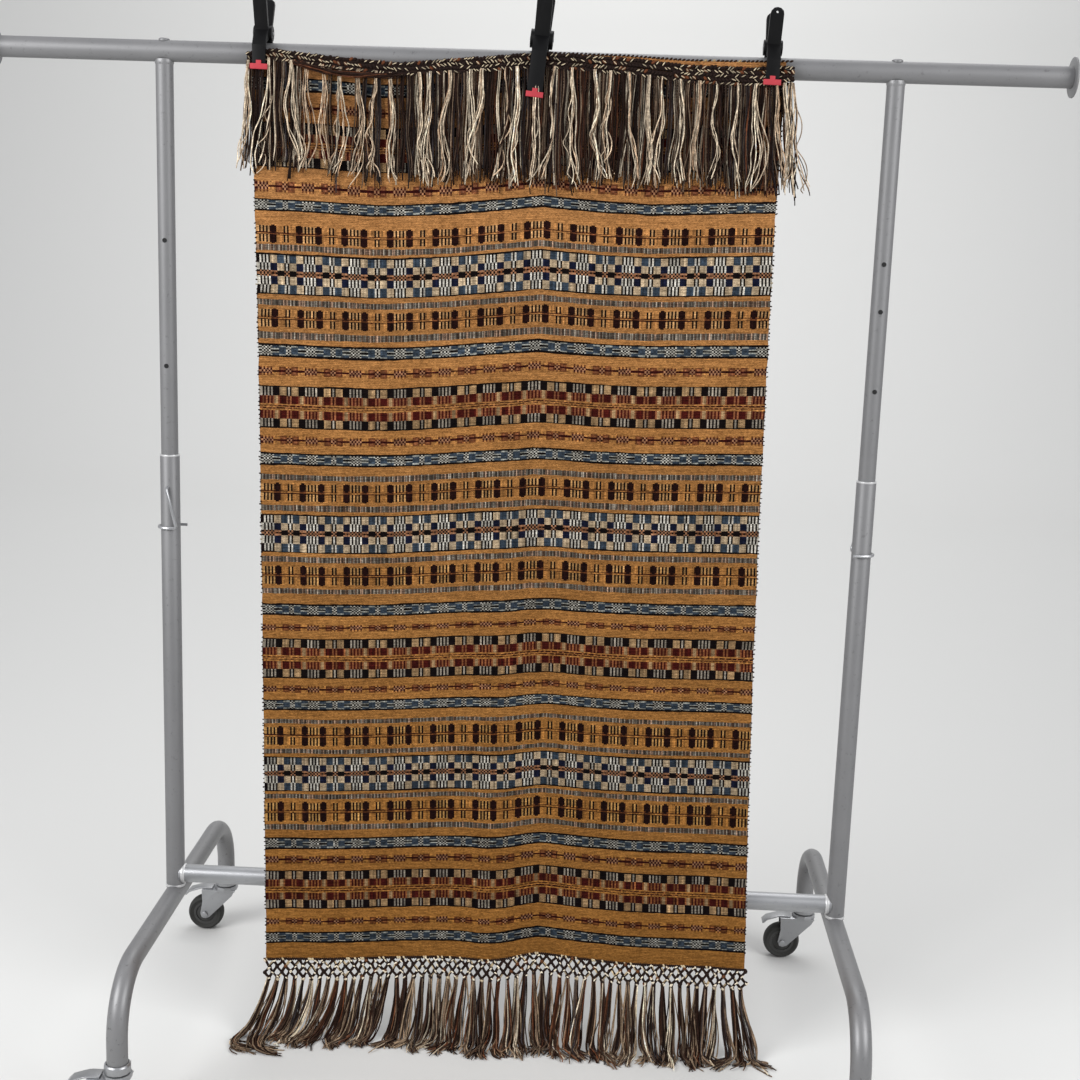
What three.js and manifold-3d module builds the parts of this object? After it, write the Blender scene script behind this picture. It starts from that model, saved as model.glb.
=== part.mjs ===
// Woven rug with knotted fringes, hung by three spring clamps from the rail of a wheeled clothes rack.
// Millimetres, +Z up. The origin is on the floor under the middle of the rack. X runs along the rail,
// and the rug hangs on the -Y side of it.
import * as THREE from 'three';
import { mergeVertices } from 'three/addons/utils/BufferGeometryUtils.js';
import Module from 'manifold-3d';

const wasm = await Module();
wasm.setup();

// Driving dimensions
const GAP = 0.3;
const ROUND_SIDES = 12;
const RAIL = { radius: 16, height: 1604, halfLength: 815, discRadius: 30, discThickness: 3 };
const SCREW = { radius: 8.5, rimHeight: 17.5, topHeight: 19 };
const POST = { x: 555, upperRadius: 13.5, lowerRadius: 15.5, foot: 232, joint: 983, overlap: 112 };
const POST_RIM = { radius: 15.5, bottom: 1580, full: 1583, top: 1592 };
const PIN_HOLE = { height: 931, boreRadius: 2.8, mouthRadius: 4.4 };
const ADJUSTING_HOLE = { radius: 3, depth: 3 };
const ADJUSTING_HEIGHTS = { left: [1320, 1125], right: [1320, 1248, 1125] };
const WIRE = { radius: 2.5, loopRadius: 18.8, loopHeight: 865, sides: 6 };
const BASE = {
  radius: 16, height: 234, frontLeg: -336, backLeg: 358, legEnd: 100, bendRadius: 95, bendSteps: 5,
};
const CROSSBAR = { radius: 15, height: 268 };

const WHEEL = { flat: 34, sides: 14, halfWidth: 13, trail: 39, boreRadius: 4.4 };
const AXLE = { radius: 4, headRadius: 6.5, headThickness: 3, sides: 8 };
const FORK = { top: 84, plate: 2.5, armInside: 15, headRadius: 22, headTop: 91, stemRadius: 14 };
const COLLAR = { inside: 16.9, outside: 20.5, bottom: 93, top: 107 };
const LEVER_HALF_WIDTH = 12;

const RUG = { thickness: 2, plane: -20, lean: 8, hem: 148, top: 1604, columns: 20, rows: 20 };
const TURN_OVER = { radius: 2.2, steps: 3 };
const HEADING = { thickness: 4.4, left: -422, right: 396, strands: 72, heightLeft: 15, heightRight: 30 };
const NET = { thickness: 4.4, left: -396, right: 410, tassels: 56, strands: 72, height: 35, gap: 0.5 };
const MESH = { halfWidth: 4.5, halfHeight: 6.5, upperRow: 12, lowerRow: 23 };
const STRAND = { width: 5, back: 1.4, front: 2, sunk: 2 };
const TOP_TIPS = { height: 1425, ragged: 12, forwardBelow: 1545 };
const FLOOR_TIPS = { landing: 22, forward: 16, ragged: 9 };

// Height of the rug's lower edge above the floor, by place across
const LOWER_EDGE = [
  { x: -420, height: 136 },
  { x: -310, height: 140 },
  { x: -230, height: 145 },
  { x: -190, height: 148 },
  { x: -110, height: 153 },
  { x: -30, height: 156 },
  { x: 30, height: 162 },
  { x: 60, height: 166 },
  { x: 120, height: 164 },
  { x: 200, height: 160 },
  { x: 420, height: 160 },
];
// Height of the rug's upper edge, and how much of the cloth is turned over to the front there
const UPPER_EDGE = [
  { x: -422, height: 1602, turned: 2 },
  { x: -382, height: 1608, turned: 2 },
  { x: -300, height: 1600, turned: 2 },
  { x: -191, height: 1593, turned: 2 },
  { x: -90, height: 1603, turned: 2 },
  { x: 20, height: 1615, turned: 3 },
  { x: 148, height: 1614, turned: 6 },
  { x: 243, height: 1610, turned: 10 },
  { x: 337, height: 1611, turned: 12 },
  { x: 400, height: 1613, turned: 10 },
];
// Soft upright folds: how far each stands forward at the top and at the hem
const FOLDS = [
  { x: -400, width: 35, top: 0, hem: 6 },
  { x: -300, width: 90, top: 0, hem: 4 },
  { x: -12, width: 42, top: 3, hem: 12 },
  { x: 66, width: 42, top: -2, hem: -7 },
  { x: 250, width: 100, top: 1, hem: 4 },
  { x: 395, width: 35, top: 0, hem: 5 },
];
// The three clamps: place along the rail, pivot height, lean to the right, pad height and sizes
const CLAMPS = [
  {
    name: 'left', x: -402, pivot: 1634, lean: 1, pad: 1583,
    handle: 55, spread: 36, arm: 10, ears: 14, ear: 11.5,
  },
  {
    name: 'middle', x: 21, pivot: 1637, lean: 5, pad: 1554,
    handle: 73, spread: 44, arm: 11.5, ears: 17, ear: 14,
  },
  {
    name: 'right', x: 368, pivot: 1634, lean: 1, pad: 1582,
    handle: 55, spread: 36, arm: 10, ears: 14, ear: 11.5,
  },
];
const CLAMP = { pinRadius: 2.5, springRadius: 5.5, springHalf: 4.2, lugRadius: 6.5, lugWall: 1.5, sides: 8 };
const JAW = {
  face: -27.3, thickness: 5.5, padFace: -26.9, padHalfWidth: 13, padHalfHeight: 4,
  tabHalfWidth: 4, tabTop: 9, hookTip: -13.4,
};
const PAD_THICKNESS = 1.5;
const HANDLE_END = { steps: 6, holeRadius: 2, holeBelow: 7 };

// Materials
function finish(color, roughness, metalness) {
  return new THREE.MeshStandardMaterial({ color, roughness, metalness });
}

const MATERIALS = {
  paint: finish(0x8f9193, 0.5, 0.45),
  steel: finish(0xb4b8ba, 0.3, 0.8),
  tyre: finish(0x3a3a36, 0.7, 0),
  cloth: finish(0xa8763a, 0.95, 0),
  yarn: finish(0x4a382c, 0.95, 0),
  plastic: finish(0x232326, 0.5, 0),
  pad: finish(0xd85059, 0.7, 0),
};

const assembly = new THREE.Group();

function addMesh(name, geometry, material, parent = assembly) {
  const mesh = new THREE.Mesh(geometry, material);
  mesh.name = name;
  parent.add(mesh);
  return mesh;
}

// Geometry helpers

// Shares the corners of a geometry and drops triangles that have shrunk to a line
function weld(geometry) {
  const bare = geometry.index ? geometry.clone() : geometry;
  bare.deleteAttribute('normal');
  bare.deleteAttribute('uv');
  const shared = mergeVertices(bare, 1e-4);
  const kept = [];
  const index = shared.index.array;
  for (let i = 0; i < index.length; i += 3) {
    const [a, b, c] = [index[i], index[i + 1], index[i + 2]];
    if (a !== b && b !== c && c !== a) kept.push(a, b, c);
  }
  shared.setIndex(kept);
  return shared;
}

function solidOf(geometry) {
  const welded = weld(geometry);
  const vertProperties = new Float32Array(welded.attributes.position.array);
  const triVerts = new Uint32Array(welded.index.array);
  return new wasm.Manifold(new wasm.Mesh({ numProp: 3, vertProperties, triVerts }));
}

function geometryOf(solid) {
  const mesh = solid.getMesh();
  const geometry = new THREE.BufferGeometry();
  geometry.setAttribute('position', new THREE.BufferAttribute(new Float32Array(mesh.vertProperties), 3));
  geometry.setIndex(new THREE.BufferAttribute(new Uint32Array(mesh.triVerts), 1));
  geometry.computeVertexNormals();
  return geometry;
}

function joined(geometries) {
  return geometries.map(solidOf).reduce((whole, piece) => whole.add(piece));
}

function geometryFromTriangles(points, triangles) {
  const geometry = new THREE.BufferGeometry();
  const positions = points.flatMap((point) => [point.x, point.y, point.z]);
  geometry.setAttribute('position', new THREE.Float32BufferAttribute(positions, 3));
  geometry.setIndex(triangles);
  geometry.computeVertexNormals();
  return geometry;
}

// A closed body through a row of rings, each ring counter-clockwise about the way it travels
function loft(rings) {
  const sides = rings[0].length;
  const triangles = [];
  for (let ring = 0; ring + 1 < rings.length; ring += 1) {
    for (let side = 0; side < sides; side += 1) {
      const next = (side + 1) % sides;
      const a = ring * sides + side;
      const b = ring * sides + next;
      triangles.push(a, b, b + sides, a, b + sides, a + sides);
    }
  }
  const last = (rings.length - 1) * sides;
  for (let side = 1; side + 1 < sides; side += 1) {
    triangles.push(0, side + 1, side, last, last + side, last + side + 1);
  }
  return geometryFromTriangles(rings.flat(), triangles);
}

// Frames along a path, carried from point to point without twist
function framesAlong(points, firstSide) {
  const side = firstSide.clone();
  return points.map((point, i) => {
    const before = points[Math.max(i - 1, 0)];
    const after = points[Math.min(i + 1, points.length - 1)];
    const way = after.clone().sub(before).normalize();
    side.addScaledVector(way, -side.dot(way)).normalize();
    return { point, way, side: side.clone(), up: way.clone().cross(side) };
  });
}

function bentRod(points, radius, sides, firstSide) {
  const rings = framesAlong(points, firstSide).map(({ point, side, up }) => {
    const ring = [];
    for (let i = 0; i < sides; i += 1) {
      const angle = (2 * Math.PI * (i + 0.5)) / sides;
      const corner = point.clone();
      corner.addScaledVector(side, radius * Math.cos(angle));
      corner.addScaledVector(up, radius * Math.sin(angle));
      ring.push(corner);
    }
    return ring;
  });
  return loft(rings);
}

// A straight round rod from its middle, along a unit axis
function rod(radius, length, axis, centre, sides = ROUND_SIDES) {
  const geometry = new THREE.CylinderGeometry(radius, radius, length, sides);
  const turn = new THREE.Quaternion().setFromUnitVectors(new THREE.Vector3(0, 1, 0), axis);
  return geometry.applyQuaternion(turn).translate(centre.x, centre.y, centre.z);
}

function box(low, high) {
  const size = high.clone().sub(low);
  const middle = low.clone().add(high).multiplyScalar(0.5);
  return new THREE.BoxGeometry(size.x, size.y, size.z).translate(middle.x, middle.y, middle.z);
}

// A turned body: rows of radius and height, about the Z axis
function turned(rows, sides = ROUND_SIDES) {
  const profile = rows.map(([radius, height]) => new THREE.Vector2(radius, height));
  return new THREE.LatheGeometry(profile, sides).rotateX(Math.PI / 2);
}

// A flat outline in the plane of two axes, thickened along their cross product, centred
function plate(outline, across, up, thickness) {
  const shape = new THREE.Shape(outline.map(([a, b]) => new THREE.Vector2(a, b)));
  const geometry = new THREE.ExtrudeGeometry(shape, { depth: thickness, bevelEnabled: false });
  geometry.translate(0, 0, -thickness / 2);
  const out = across.clone().cross(up);
  return geometry.applyMatrix4(new THREE.Matrix4().makeBasis(across, up, out));
}

const X_AXIS = new THREE.Vector3(1, 0, 0);
const Y_AXIS = new THREE.Vector3(0, 1, 0);
const Z_AXIS = new THREE.Vector3(0, 0, 1);
const at = (x, y, z) => new THREE.Vector3(x, y, z);

// Reads a table with rising x, with a smooth step between its rows
function readTable(table, x, column) {
  const last = table.length - 1;
  if (x <= table[0].x) return table[0][column];
  if (x >= table[last].x) return table[last][column];
  const i = table.findIndex((row) => row.x > x) - 1;
  const t = (x - table[i].x) / (table[i + 1].x - table[i].x);
  return THREE.MathUtils.lerp(table[i][column], table[i + 1][column], t);
}

// A repeatable uneven value between -1 and 1 for each strand
function uneven(number) {
  const value = Math.sin(number * 12.9898) * 43758.5453;
  return 2 * (value - Math.floor(value)) - 1;
}

// Rack: rail with end discs and screw heads
function buildRail() {
  const rail = rod(RAIL.radius, 2 * RAIL.halfLength, X_AXIS, at(0, 0, RAIL.height));
  addMesh('rail', rail, MATERIALS.paint);
  for (const [name, sign] of [['left', -1], ['right', 1]]) {
    const discX = sign * (RAIL.halfLength + GAP + RAIL.discThickness / 2);
    const disc = rod(RAIL.discRadius, RAIL.discThickness, X_AXIS, at(discX, 0, RAIL.height), 20);
    addMesh(`rail_disc_${name}`, disc, MATERIALS.paint);
    const head = turned([[0, 10], [SCREW.radius, 10], [SCREW.radius, SCREW.rimHeight],
      [SCREW.radius - 2.5, SCREW.topHeight], [0, SCREW.topHeight]]);
    head.translate(sign * POST.x, 0, RAIL.height);
    addMesh(`rail_screw_${name}`, geometryOf(solidOf(head).subtract(railCutter())), MATERIALS.paint);
  }
}

function railCutter() {
  return solidOf(rod(RAIL.radius + GAP, 2 * RAIL.halfLength, X_AXIS, at(0, 0, RAIL.height)));
}

// Rack: telescoping posts, with the bore that the lock wire passes through
function buildPosts() {
  const bottom = POST.joint - POST.overlap;
  for (const [name, sign] of [['left', -1], ['right', 1]]) {
    const x = sign * POST.x;
    const upper = turned([[0, bottom], [POST.upperRadius, bottom], [POST.upperRadius, POST_RIM.bottom],
      [POST_RIM.radius, POST_RIM.full], [POST_RIM.radius, POST_RIM.top], [0, POST_RIM.top]]);
    let upperSolid = solidOf(upper.translate(x, 0, 0)).subtract(railCutter());
    const bore = rod(PIN_HOLE.boreRadius / Math.cos(Math.PI / 8), 60, Y_AXIS, at(x, 0, PIN_HOLE.height), 8);
    upperSolid = upperSolid.subtract(solidOf(bore));
    for (const height of ADJUSTING_HEIGHTS[name]) {
      const middle = -POST.upperRadius;
      const hole = rod(ADJUSTING_HOLE.radius, 2 * ADJUSTING_HOLE.depth, Y_AXIS, at(x, middle, height), 8);
      upperSolid = upperSolid.subtract(solidOf(hole));
    }
    addMesh(`upright_upper_${name}`, geometryOf(upperSolid), MATERIALS.paint);

    const socket = POST.upperRadius + GAP;
    const lower = turned([[0, POST.foot], [POST.lowerRadius, POST.foot], [POST.lowerRadius, POST.joint],
      [socket, POST.joint], [socket, bottom - GAP], [0, bottom - GAP]]);
    const mouth = rod(PIN_HOLE.mouthRadius, 60, Y_AXIS, at(x, 0, PIN_HOLE.height), 8);
    let lowerSolid = solidOf(lower.translate(x, 0, 0)).subtract(solidOf(mouth));
    lowerSolid = lowerSolid.subtract(solidOf(baseTube(x, BASE.radius + GAP)));
    addMesh(`upright_lower_${name}`, geometryOf(lowerSolid), MATERIALS.paint);
    addMesh(`lock_wire_${name}`, lockWire(x, sign), MATERIALS.steel);
  }
}

// The wire goes through the post, down its face and once round it. The right one is turned half round.
function lockWire(x, sign) {
  const tail = sign < 0 ? 22 : 15;
  const route = [at(0, 13, PIN_HOLE.height), at(0, -16.5, PIN_HOLE.height), at(-0.5, -19.5, 929),
    at(0, -20.8, 925), at(12.5, -18.5, 871), at(12.8, -16.8, 867)];
  const firstAngle = -60;
  for (let angle = firstAngle; angle >= -270; angle -= 30) {
    const turn = THREE.MathUtils.degToRad(angle);
    route.push(at(WIRE.loopRadius * Math.cos(turn), WIRE.loopRadius * Math.sin(turn), WIRE.loopHeight));
  }
  route.push(at(tail, WIRE.loopRadius, WIRE.loopHeight));
  const wire = bentRod(route, WIRE.radius, WIRE.sides, X_AXIS);
  if (sign > 0) wire.rotateZ(Math.PI);
  return wire.translate(x, 0, 0);
}

// Rack: base tubes bent down to the casters at both ends, and the crossbar between the posts
function baseTube(x, radius) {
  const points = [at(x, BASE.frontLeg, BASE.legEnd)];
  for (const leg of [BASE.frontLeg, BASE.backLeg]) {
    const sign = Math.sign(leg);
    for (let step = 0; step <= BASE.bendSteps; step += 1) {
      const share = sign < 0 ? step : BASE.bendSteps - step;
      const turn = (Math.PI / 2) * (share / BASE.bendSteps);
      const inset = BASE.bendRadius * (1 - Math.cos(turn));
      const drop = BASE.bendRadius * (1 - Math.sin(turn));
      points.push(at(x, leg - sign * inset, BASE.height - drop));
    }
  }
  points.push(at(x, BASE.backLeg, BASE.legEnd));
  return bentRod(points, radius, ROUND_SIDES, X_AXIS);
}

function buildBase() {
  const cutters = [];
  for (const [name, sign] of [['left', -1], ['right', 1]]) {
    const x = sign * POST.x;
    addMesh(`base_tube_${name}`, baseTube(x, BASE.radius), MATERIALS.paint);
    cutters.push(rod(POST.lowerRadius + GAP, 200, Z_AXIS, at(x, 0, CROSSBAR.height)));
  }
  const bar = rod(CROSSBAR.radius, 2 * (POST.x - 2), X_AXIS, at(0, 0, CROSSBAR.height));
  addMesh('crossbar', geometryOf(solidOf(bar).subtract(joined(cutters))), MATERIALS.steel);
}

// Casters, each trailing toward -X from its stem
function buildCasters() {
  let number = 1;
  for (const y of [BASE.frontLeg, BASE.backLeg]) {
    for (const x of [-POST.x, POST.x]) {
      const group = new THREE.Group();
      group.position.set(x, y, 0);
      assembly.add(group);
      const name = `caster_${number}`;
      addMesh(`${name}_collar`, collar(), MATERIALS.steel, group);
      addMesh(`${name}_fork`, fork(), MATERIALS.steel, group);
      addMesh(`${name}_wheel`, wheel(), MATERIALS.tyre, group);
      addMesh(`${name}_axle`, axle(), MATERIALS.steel, group);
      addMesh(`${name}_lever`, lever(), MATERIALS.steel, group);
      number += 1;
    }
  }
}

function collar() {
  const { inside, outside, bottom, top } = COLLAR;
  const rim = [[outside, top - 3], [inside + 1.5, top], [inside, top]];
  return turned([[inside, bottom], [outside, bottom], ...rim, [inside, bottom]]);
}

function fork() {
  const { top, plate: thickness, armInside, headRadius, headTop, stemRadius } = FORK;
  const armOutline = [
    [-44, top], [-43, 60], [-47, 36], [-44, 28], [-37, 26], [-30, 29], [14, 74], [19, top],
  ].reverse();
  const armMiddle = armInside + thickness / 2;
  const outside = armInside + thickness;
  const pieces = [-armMiddle, armMiddle].map(
    (y) => plate(armOutline, X_AXIS, Z_AXIS, thickness).translate(0, y, 0),
  );
  pieces.push(box(at(-44, -outside, top - thickness), at(19, outside, top)));
  pieces.push(rod(headRadius, headTop - top + 1, Z_AXIS, at(0, 0, (headTop + top - 1) / 2), 10));
  const stemTop = BASE.legEnd - GAP;
  pieces.push(rod(stemRadius, stemTop - headTop + 1, Z_AXIS, at(0, 0, (stemTop + headTop - 1) / 2), 8));
  const bore = (AXLE.radius + GAP) / Math.cos(Math.PI / AXLE.sides);
  const hole = rod(bore, 60, Y_AXIS, at(-WHEEL.trail, 0, WHEEL.flat), AXLE.sides);
  return geometryOf(joined(pieces).subtract(solidOf(hole)));
}

// The tread's flats lie at the wheel's radius, so that one of them rests on the floor
function wheel() {
  const tread = WHEEL.flat / Math.cos(Math.PI / WHEEL.sides);
  const { halfWidth, boreRadius } = WHEEL;
  const half = [[boreRadius, halfWidth], [15, halfWidth], [18, 9.5], [30, 11], [tread, 6]];
  const profile = half.concat(half.slice().reverse().map(([radius, y]) => [radius, -y]));
  profile.push(half[0]);
  const geometry = turned(profile.reverse(), WHEEL.sides);
  geometry.rotateZ(Math.PI / WHEEL.sides).rotateX(Math.PI / 2);
  return geometry.translate(-WHEEL.trail, 0, WHEEL.flat);
}

function axle() {
  const inner = FORK.armInside + FORK.plate + GAP;
  const outer = inner + AXLE.headThickness;
  const profile = [[0, -outer], [AXLE.headRadius, -outer], [AXLE.headRadius, -inner], [AXLE.radius, -inner],
    [AXLE.radius, inner], [AXLE.headRadius, inner], [AXLE.headRadius, outer], [0, outer]];
  return turned(profile, AXLE.sides).rotateX(Math.PI / 2).translate(-WHEEL.trail, 0, WHEEL.flat);
}

function lever() {
  const seat = FORK.top + GAP;
  const outline = [[-25, seat], [-25, seat + 2.5], [-46, seat + 2.5], [-70, 79], [-78, 71], [-76, 69.5],
    [-68.5, 76.5], [-46, seat]];
  return plate(outline, X_AXIS, Z_AXIS, 2 * LEVER_HALF_WIDTH);
}

// Clamps: each arm is a side outline, thickened along the rail, with lugs round the pivot
function buildClamps() {
  for (const size of CLAMPS) {
    const group = new THREE.Group();
    group.position.set(size.x, 0, size.pivot);
    group.rotation.y = THREE.MathUtils.degToRad(size.lean);
    assembly.add(group);
    const name = `clamp_${size.name}`;
    const drop = size.pivot - size.pad;
    addMesh(`${name}_front_arm`, frontArm(size, drop), MATERIALS.plastic, group);
    addMesh(`${name}_back_arm`, backArm(size, drop), MATERIALS.plastic, group);
    addMesh(`${name}_pivot`, pivot(size), MATERIALS.steel, group);
    addMesh(`${name}_front_pad`, frontPad(drop), MATERIALS.pad, group);
    addMesh(`${name}_back_pad`, backPad(drop), MATERIALS.pad, group);
  }
}

function handleTop(size) {
  const { handle, spread } = size;
  return [[spread + 1, handle - 6], [spread - 2, handle], [spread - 7, handle - 3]];
}

// An arm cut to a round handle end as seen from the front
function roundHandle(body, size) {
  const centre = size.handle - size.arm;
  const outline = [[-size.arm - 1, -150], [size.arm + 1, -150], [size.arm + 1, centre]];
  for (let step = 0; step <= HANDLE_END.steps; step += 1) {
    const angle = (Math.PI * step) / HANDLE_END.steps;
    outline.push([size.arm * Math.cos(angle), centre + size.arm * Math.sin(angle)]);
  }
  outline.push([-size.arm - 1, centre]);
  return body.intersect(solidOf(plate(outline.reverse(), X_AXIS, Z_AXIS, 4 * size.spread)));
}

function barrel(radius, fromX, toX, sides = CLAMP.sides) {
  return rod(radius, toX - fromX, X_AXIS, at((fromX + toX) / 2, 0, 0), sides);
}

function pinBore(size) {
  const radius = (CLAMP.pinRadius + GAP) / Math.cos(Math.PI / CLAMP.sides);
  return solidOf(barrel(radius, -2 * size.ears, 2 * size.ears));
}

// A round ear at each side of a clamp arm, from a place inside out to the ear's outer face
function earPair(radius, inner, outer) {
  return joined([barrel(radius, -outer, -inner, ROUND_SIDES), barrel(radius, inner, outer, ROUND_SIDES)]);
}

function frontArm(size, drop) {
  const { face, thickness, tabTop } = JAW;
  const tip = JAW.padHalfHeight + GAP - drop;
  const outline = handleTop(size).map(([y, z]) => [-y, z]);
  outline.push([-9, 7], [-6, -8], [-22, -14], [face, -19], [face, tip], [face - thickness, tip],
    [face - thickness, tabTop - drop], [face - thickness - 3, -20], [-29, -8], [-17, 4]);
  const inner = size.arm - CLAMP.lugWall;
  const body = solidOf(plate(outline, Y_AXIS, Z_AXIS, 2 * size.arm));
  const clearance = solidOf(barrel(CLAMP.lugRadius + GAP, -inner, inner));
  const ears = earPair(size.ear, inner, size.ears);
  const holeCentre = at(0, -size.spread, size.handle - HANDLE_END.holeBelow);
  const hole = solidOf(rod(HANDLE_END.holeRadius, 60, Y_AXIS, holeCentre, CLAMP.sides));
  const arm = roundHandle(body, size).subtract(clearance).subtract(hole);
  return geometryOf(arm.add(ears).subtract(pinBore(size)));
}

function backArm(size, drop) {
  const { padHalfHeight, hookTip } = JAW;
  const shelf = padHalfHeight - drop;
  const hook = 1 - padHalfHeight - drop;
  const outline = handleTop(size);
  outline.push([9, 7], [7, -8], [17, -13], [20, -22], [20, shelf + 5], [13, shelf], [hookTip, shelf],
    [hookTip, hook], [16, hook], [26, hook + 9], [26, -20], [21, -7], [15, 3]);
  const inner = size.arm - CLAMP.lugWall - GAP;
  const body = solidOf(plate(outline.reverse(), Y_AXIS, Z_AXIS, 2 * size.arm));
  const clearance = earPair(size.ear + 2 * GAP, inner, size.ears);
  const { springHalf, lugRadius } = CLAMP;
  const lugs = [];
  for (const [from, to] of [[-inner, -springHalf - GAP], [springHalf + GAP, inner]]) {
    lugs.push(barrel(lugRadius, from, to), box(at(from, 2, -5), at(to, 12, 4)));
  }
  const arm = roundHandle(body, size).subtract(clearance);
  return geometryOf(arm.add(joined(lugs)).subtract(pinBore(size)));
}

function pivot(size) {
  const { pinRadius, springRadius, springHalf } = CLAMP;
  const end = size.ears + 1;
  const rows = [[0, -end], [pinRadius, -end], [pinRadius, -springHalf], [springRadius, -springHalf],
    [springRadius, springHalf], [pinRadius, springHalf], [pinRadius, end], [0, end]];
  return turned(rows, CLAMP.sides).rotateY(Math.PI / 2);
}

// A bar across the jaw with a centre tab that shows on the jaw's front
function frontPad(drop) {
  const { face, thickness, padFace, padHalfWidth, padHalfHeight, tabHalfWidth, tabTop } = JAW;
  const front = face - thickness - GAP;
  const outside = front - PAD_THICKNESS;
  const bar = box(
    at(-padHalfWidth, outside, -drop - padHalfHeight),
    at(padHalfWidth, padFace, padHalfHeight - drop),
  );
  const tab = box(at(-tabHalfWidth, outside, -drop), at(tabHalfWidth, front, tabTop - drop));
  return geometryOf(joined([bar, tab]));
}

function backPad(drop) {
  const { padHalfWidth, padHalfHeight, hookTip } = JAW;
  const front = RUG.plane + RUG.thickness / 2 + GAP;
  const bottom = -drop - padHalfHeight;
  return box(at(-padHalfWidth, front, bottom), at(padHalfWidth, hookTip - GAP, bottom + 2 * padHalfHeight));
}

// Rug

// Depth of the cloth's middle surface, with the folds, at a place across and a height
function depthAt(x, height) {
  const t = THREE.MathUtils.clamp((RUG.top - 40 - height) / (RUG.top - 40 - RUG.hem), 0, 1);
  let depth = RUG.plane - RUG.lean * t;
  for (const fold of FOLDS) {
    const shape = Math.exp(-(((x - fold.x) / fold.width) ** 2));
    depth -= shape * (fold.top * Math.sin(Math.PI * t) + fold.hem * t);
  }
  return depth;
}

// The selvedges drift to the right as they go down
function selvedges(height) {
  const t = THREE.MathUtils.clamp((height - RUG.hem) / 1280, 0, 1.15);
  const left = -394 - 15 * t - 5 * t ** 6;
  const right = 385 + 23 * Math.max(0, 1 - t) ** 2.3 + 5 * Math.max(0, t - 0.95) ** 0.5;
  return { left, right };
}

function clothPoint(across, height) {
  const { left, right } = selvedges(height);
  const x = THREE.MathUtils.lerp(left, right, across);
  return at(x, depthAt(x, height), height);
}

function hemHeight(x) {
  return readTable(LOWER_EDGE, x, 'height');
}

function turnedEdge(x) {
  const crest = readTable(UPPER_EDGE, x, 'height');
  return { crest, end: crest - TURN_OVER.radius - readTable(UPPER_EDGE, x, 'turned') };
}

// The rows run from the hem up to the crest, over it, and down to the end of the turned-over edge
function rugColumn(across) {
  const column = [];
  const { crest, end } = turnedEdge(clothPoint(across, RUG.top).x);
  const start = crest - TURN_OVER.radius;
  const foot = hemHeight(clothPoint(across, RUG.hem).x);
  for (let row = 0; row <= RUG.rows; row += 1) {
    column.push(clothPoint(across, THREE.MathUtils.lerp(foot, start, row / RUG.rows)));
  }
  const { x } = clothPoint(across, RUG.top);
  for (let step = 1; step <= TURN_OVER.steps; step += 1) {
    const turn = (Math.PI * step) / TURN_OVER.steps;
    const y = RUG.plane - TURN_OVER.radius * (1 - Math.cos(turn));
    column.push(at(x, y, start + TURN_OVER.radius * Math.sin(turn)));
  }
  column.push(at(x, RUG.plane - 2 * TURN_OVER.radius, end));
  return column;
}

// A sheet of even thickness on a grid of points, closed along its four edges
function sheet(columns, thickness) {
  const rows = columns[0].length;
  const faces = [[], []];
  columns.forEach((column, c) => column.forEach((point, r) => {
    const left = columns[Math.max(c - 1, 0)][r];
    const right = columns[Math.min(c + 1, columns.length - 1)][r];
    const across = right.clone().sub(left);
    const along = column[Math.min(r + 1, rows - 1)].clone().sub(column[Math.max(r - 1, 0)]);
    const out = across.cross(along).normalize();
    faces[0].push(point.clone().addScaledVector(out, thickness / 2));
    faces[1].push(point.clone().addScaledVector(out, -thickness / 2));
  }));
  const count = faces[0].length;
  const triangles = [];
  for (let c = 0; c + 1 < columns.length; c += 1) {
    for (let r = 0; r + 1 < rows; r += 1) {
      const a = c * rows + r;
      const b = a + rows;
      triangles.push(a, b, b + 1, a, b + 1, a + 1);
      triangles.push(count + a, count + b + 1, count + b, count + a, count + a + 1, count + b + 1);
    }
  }
  const rim = [];
  for (let c = 0; c < columns.length; c += 1) rim.push(c * rows);
  for (let r = 1; r < rows; r += 1) rim.push((columns.length - 1) * rows + r);
  for (let c = columns.length - 2; c >= 0; c -= 1) rim.push(c * rows + rows - 1);
  for (let r = rows - 2; r > 0; r -= 1) rim.push(r);
  rim.forEach((a, i) => {
    const b = rim[(i + 1) % rim.length];
    triangles.push(a, count + a, count + b, a, count + b, b);
  });
  return geometryFromTriangles(faces.flat(), triangles);
}

function buildRug() {
  const columns = [];
  for (let c = 0; c <= RUG.columns; c += 1) columns.push(rugColumn(c / RUG.columns));
  addMesh('rug', sheet(columns, RUG.thickness), MATERIALS.cloth);
}

// Strands: three-sided yarn bundles with a flat back, which turns into a level underside on the floor
function strandRing({ point, way }) {
  const level = point.z <= STRAND.back ? way.clone().setZ(0).normalize() : way;
  const side = X_AXIS.clone().addScaledVector(level, -level.x).normalize();
  const up = level.clone().cross(side);
  const corner = (across, out) => point.clone().addScaledVector(side, across).addScaledVector(up, out);
  const half = STRAND.width / 2;
  return [corner(-half, -STRAND.back), corner(half, -STRAND.back), corner(0, STRAND.front)];
}

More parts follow.
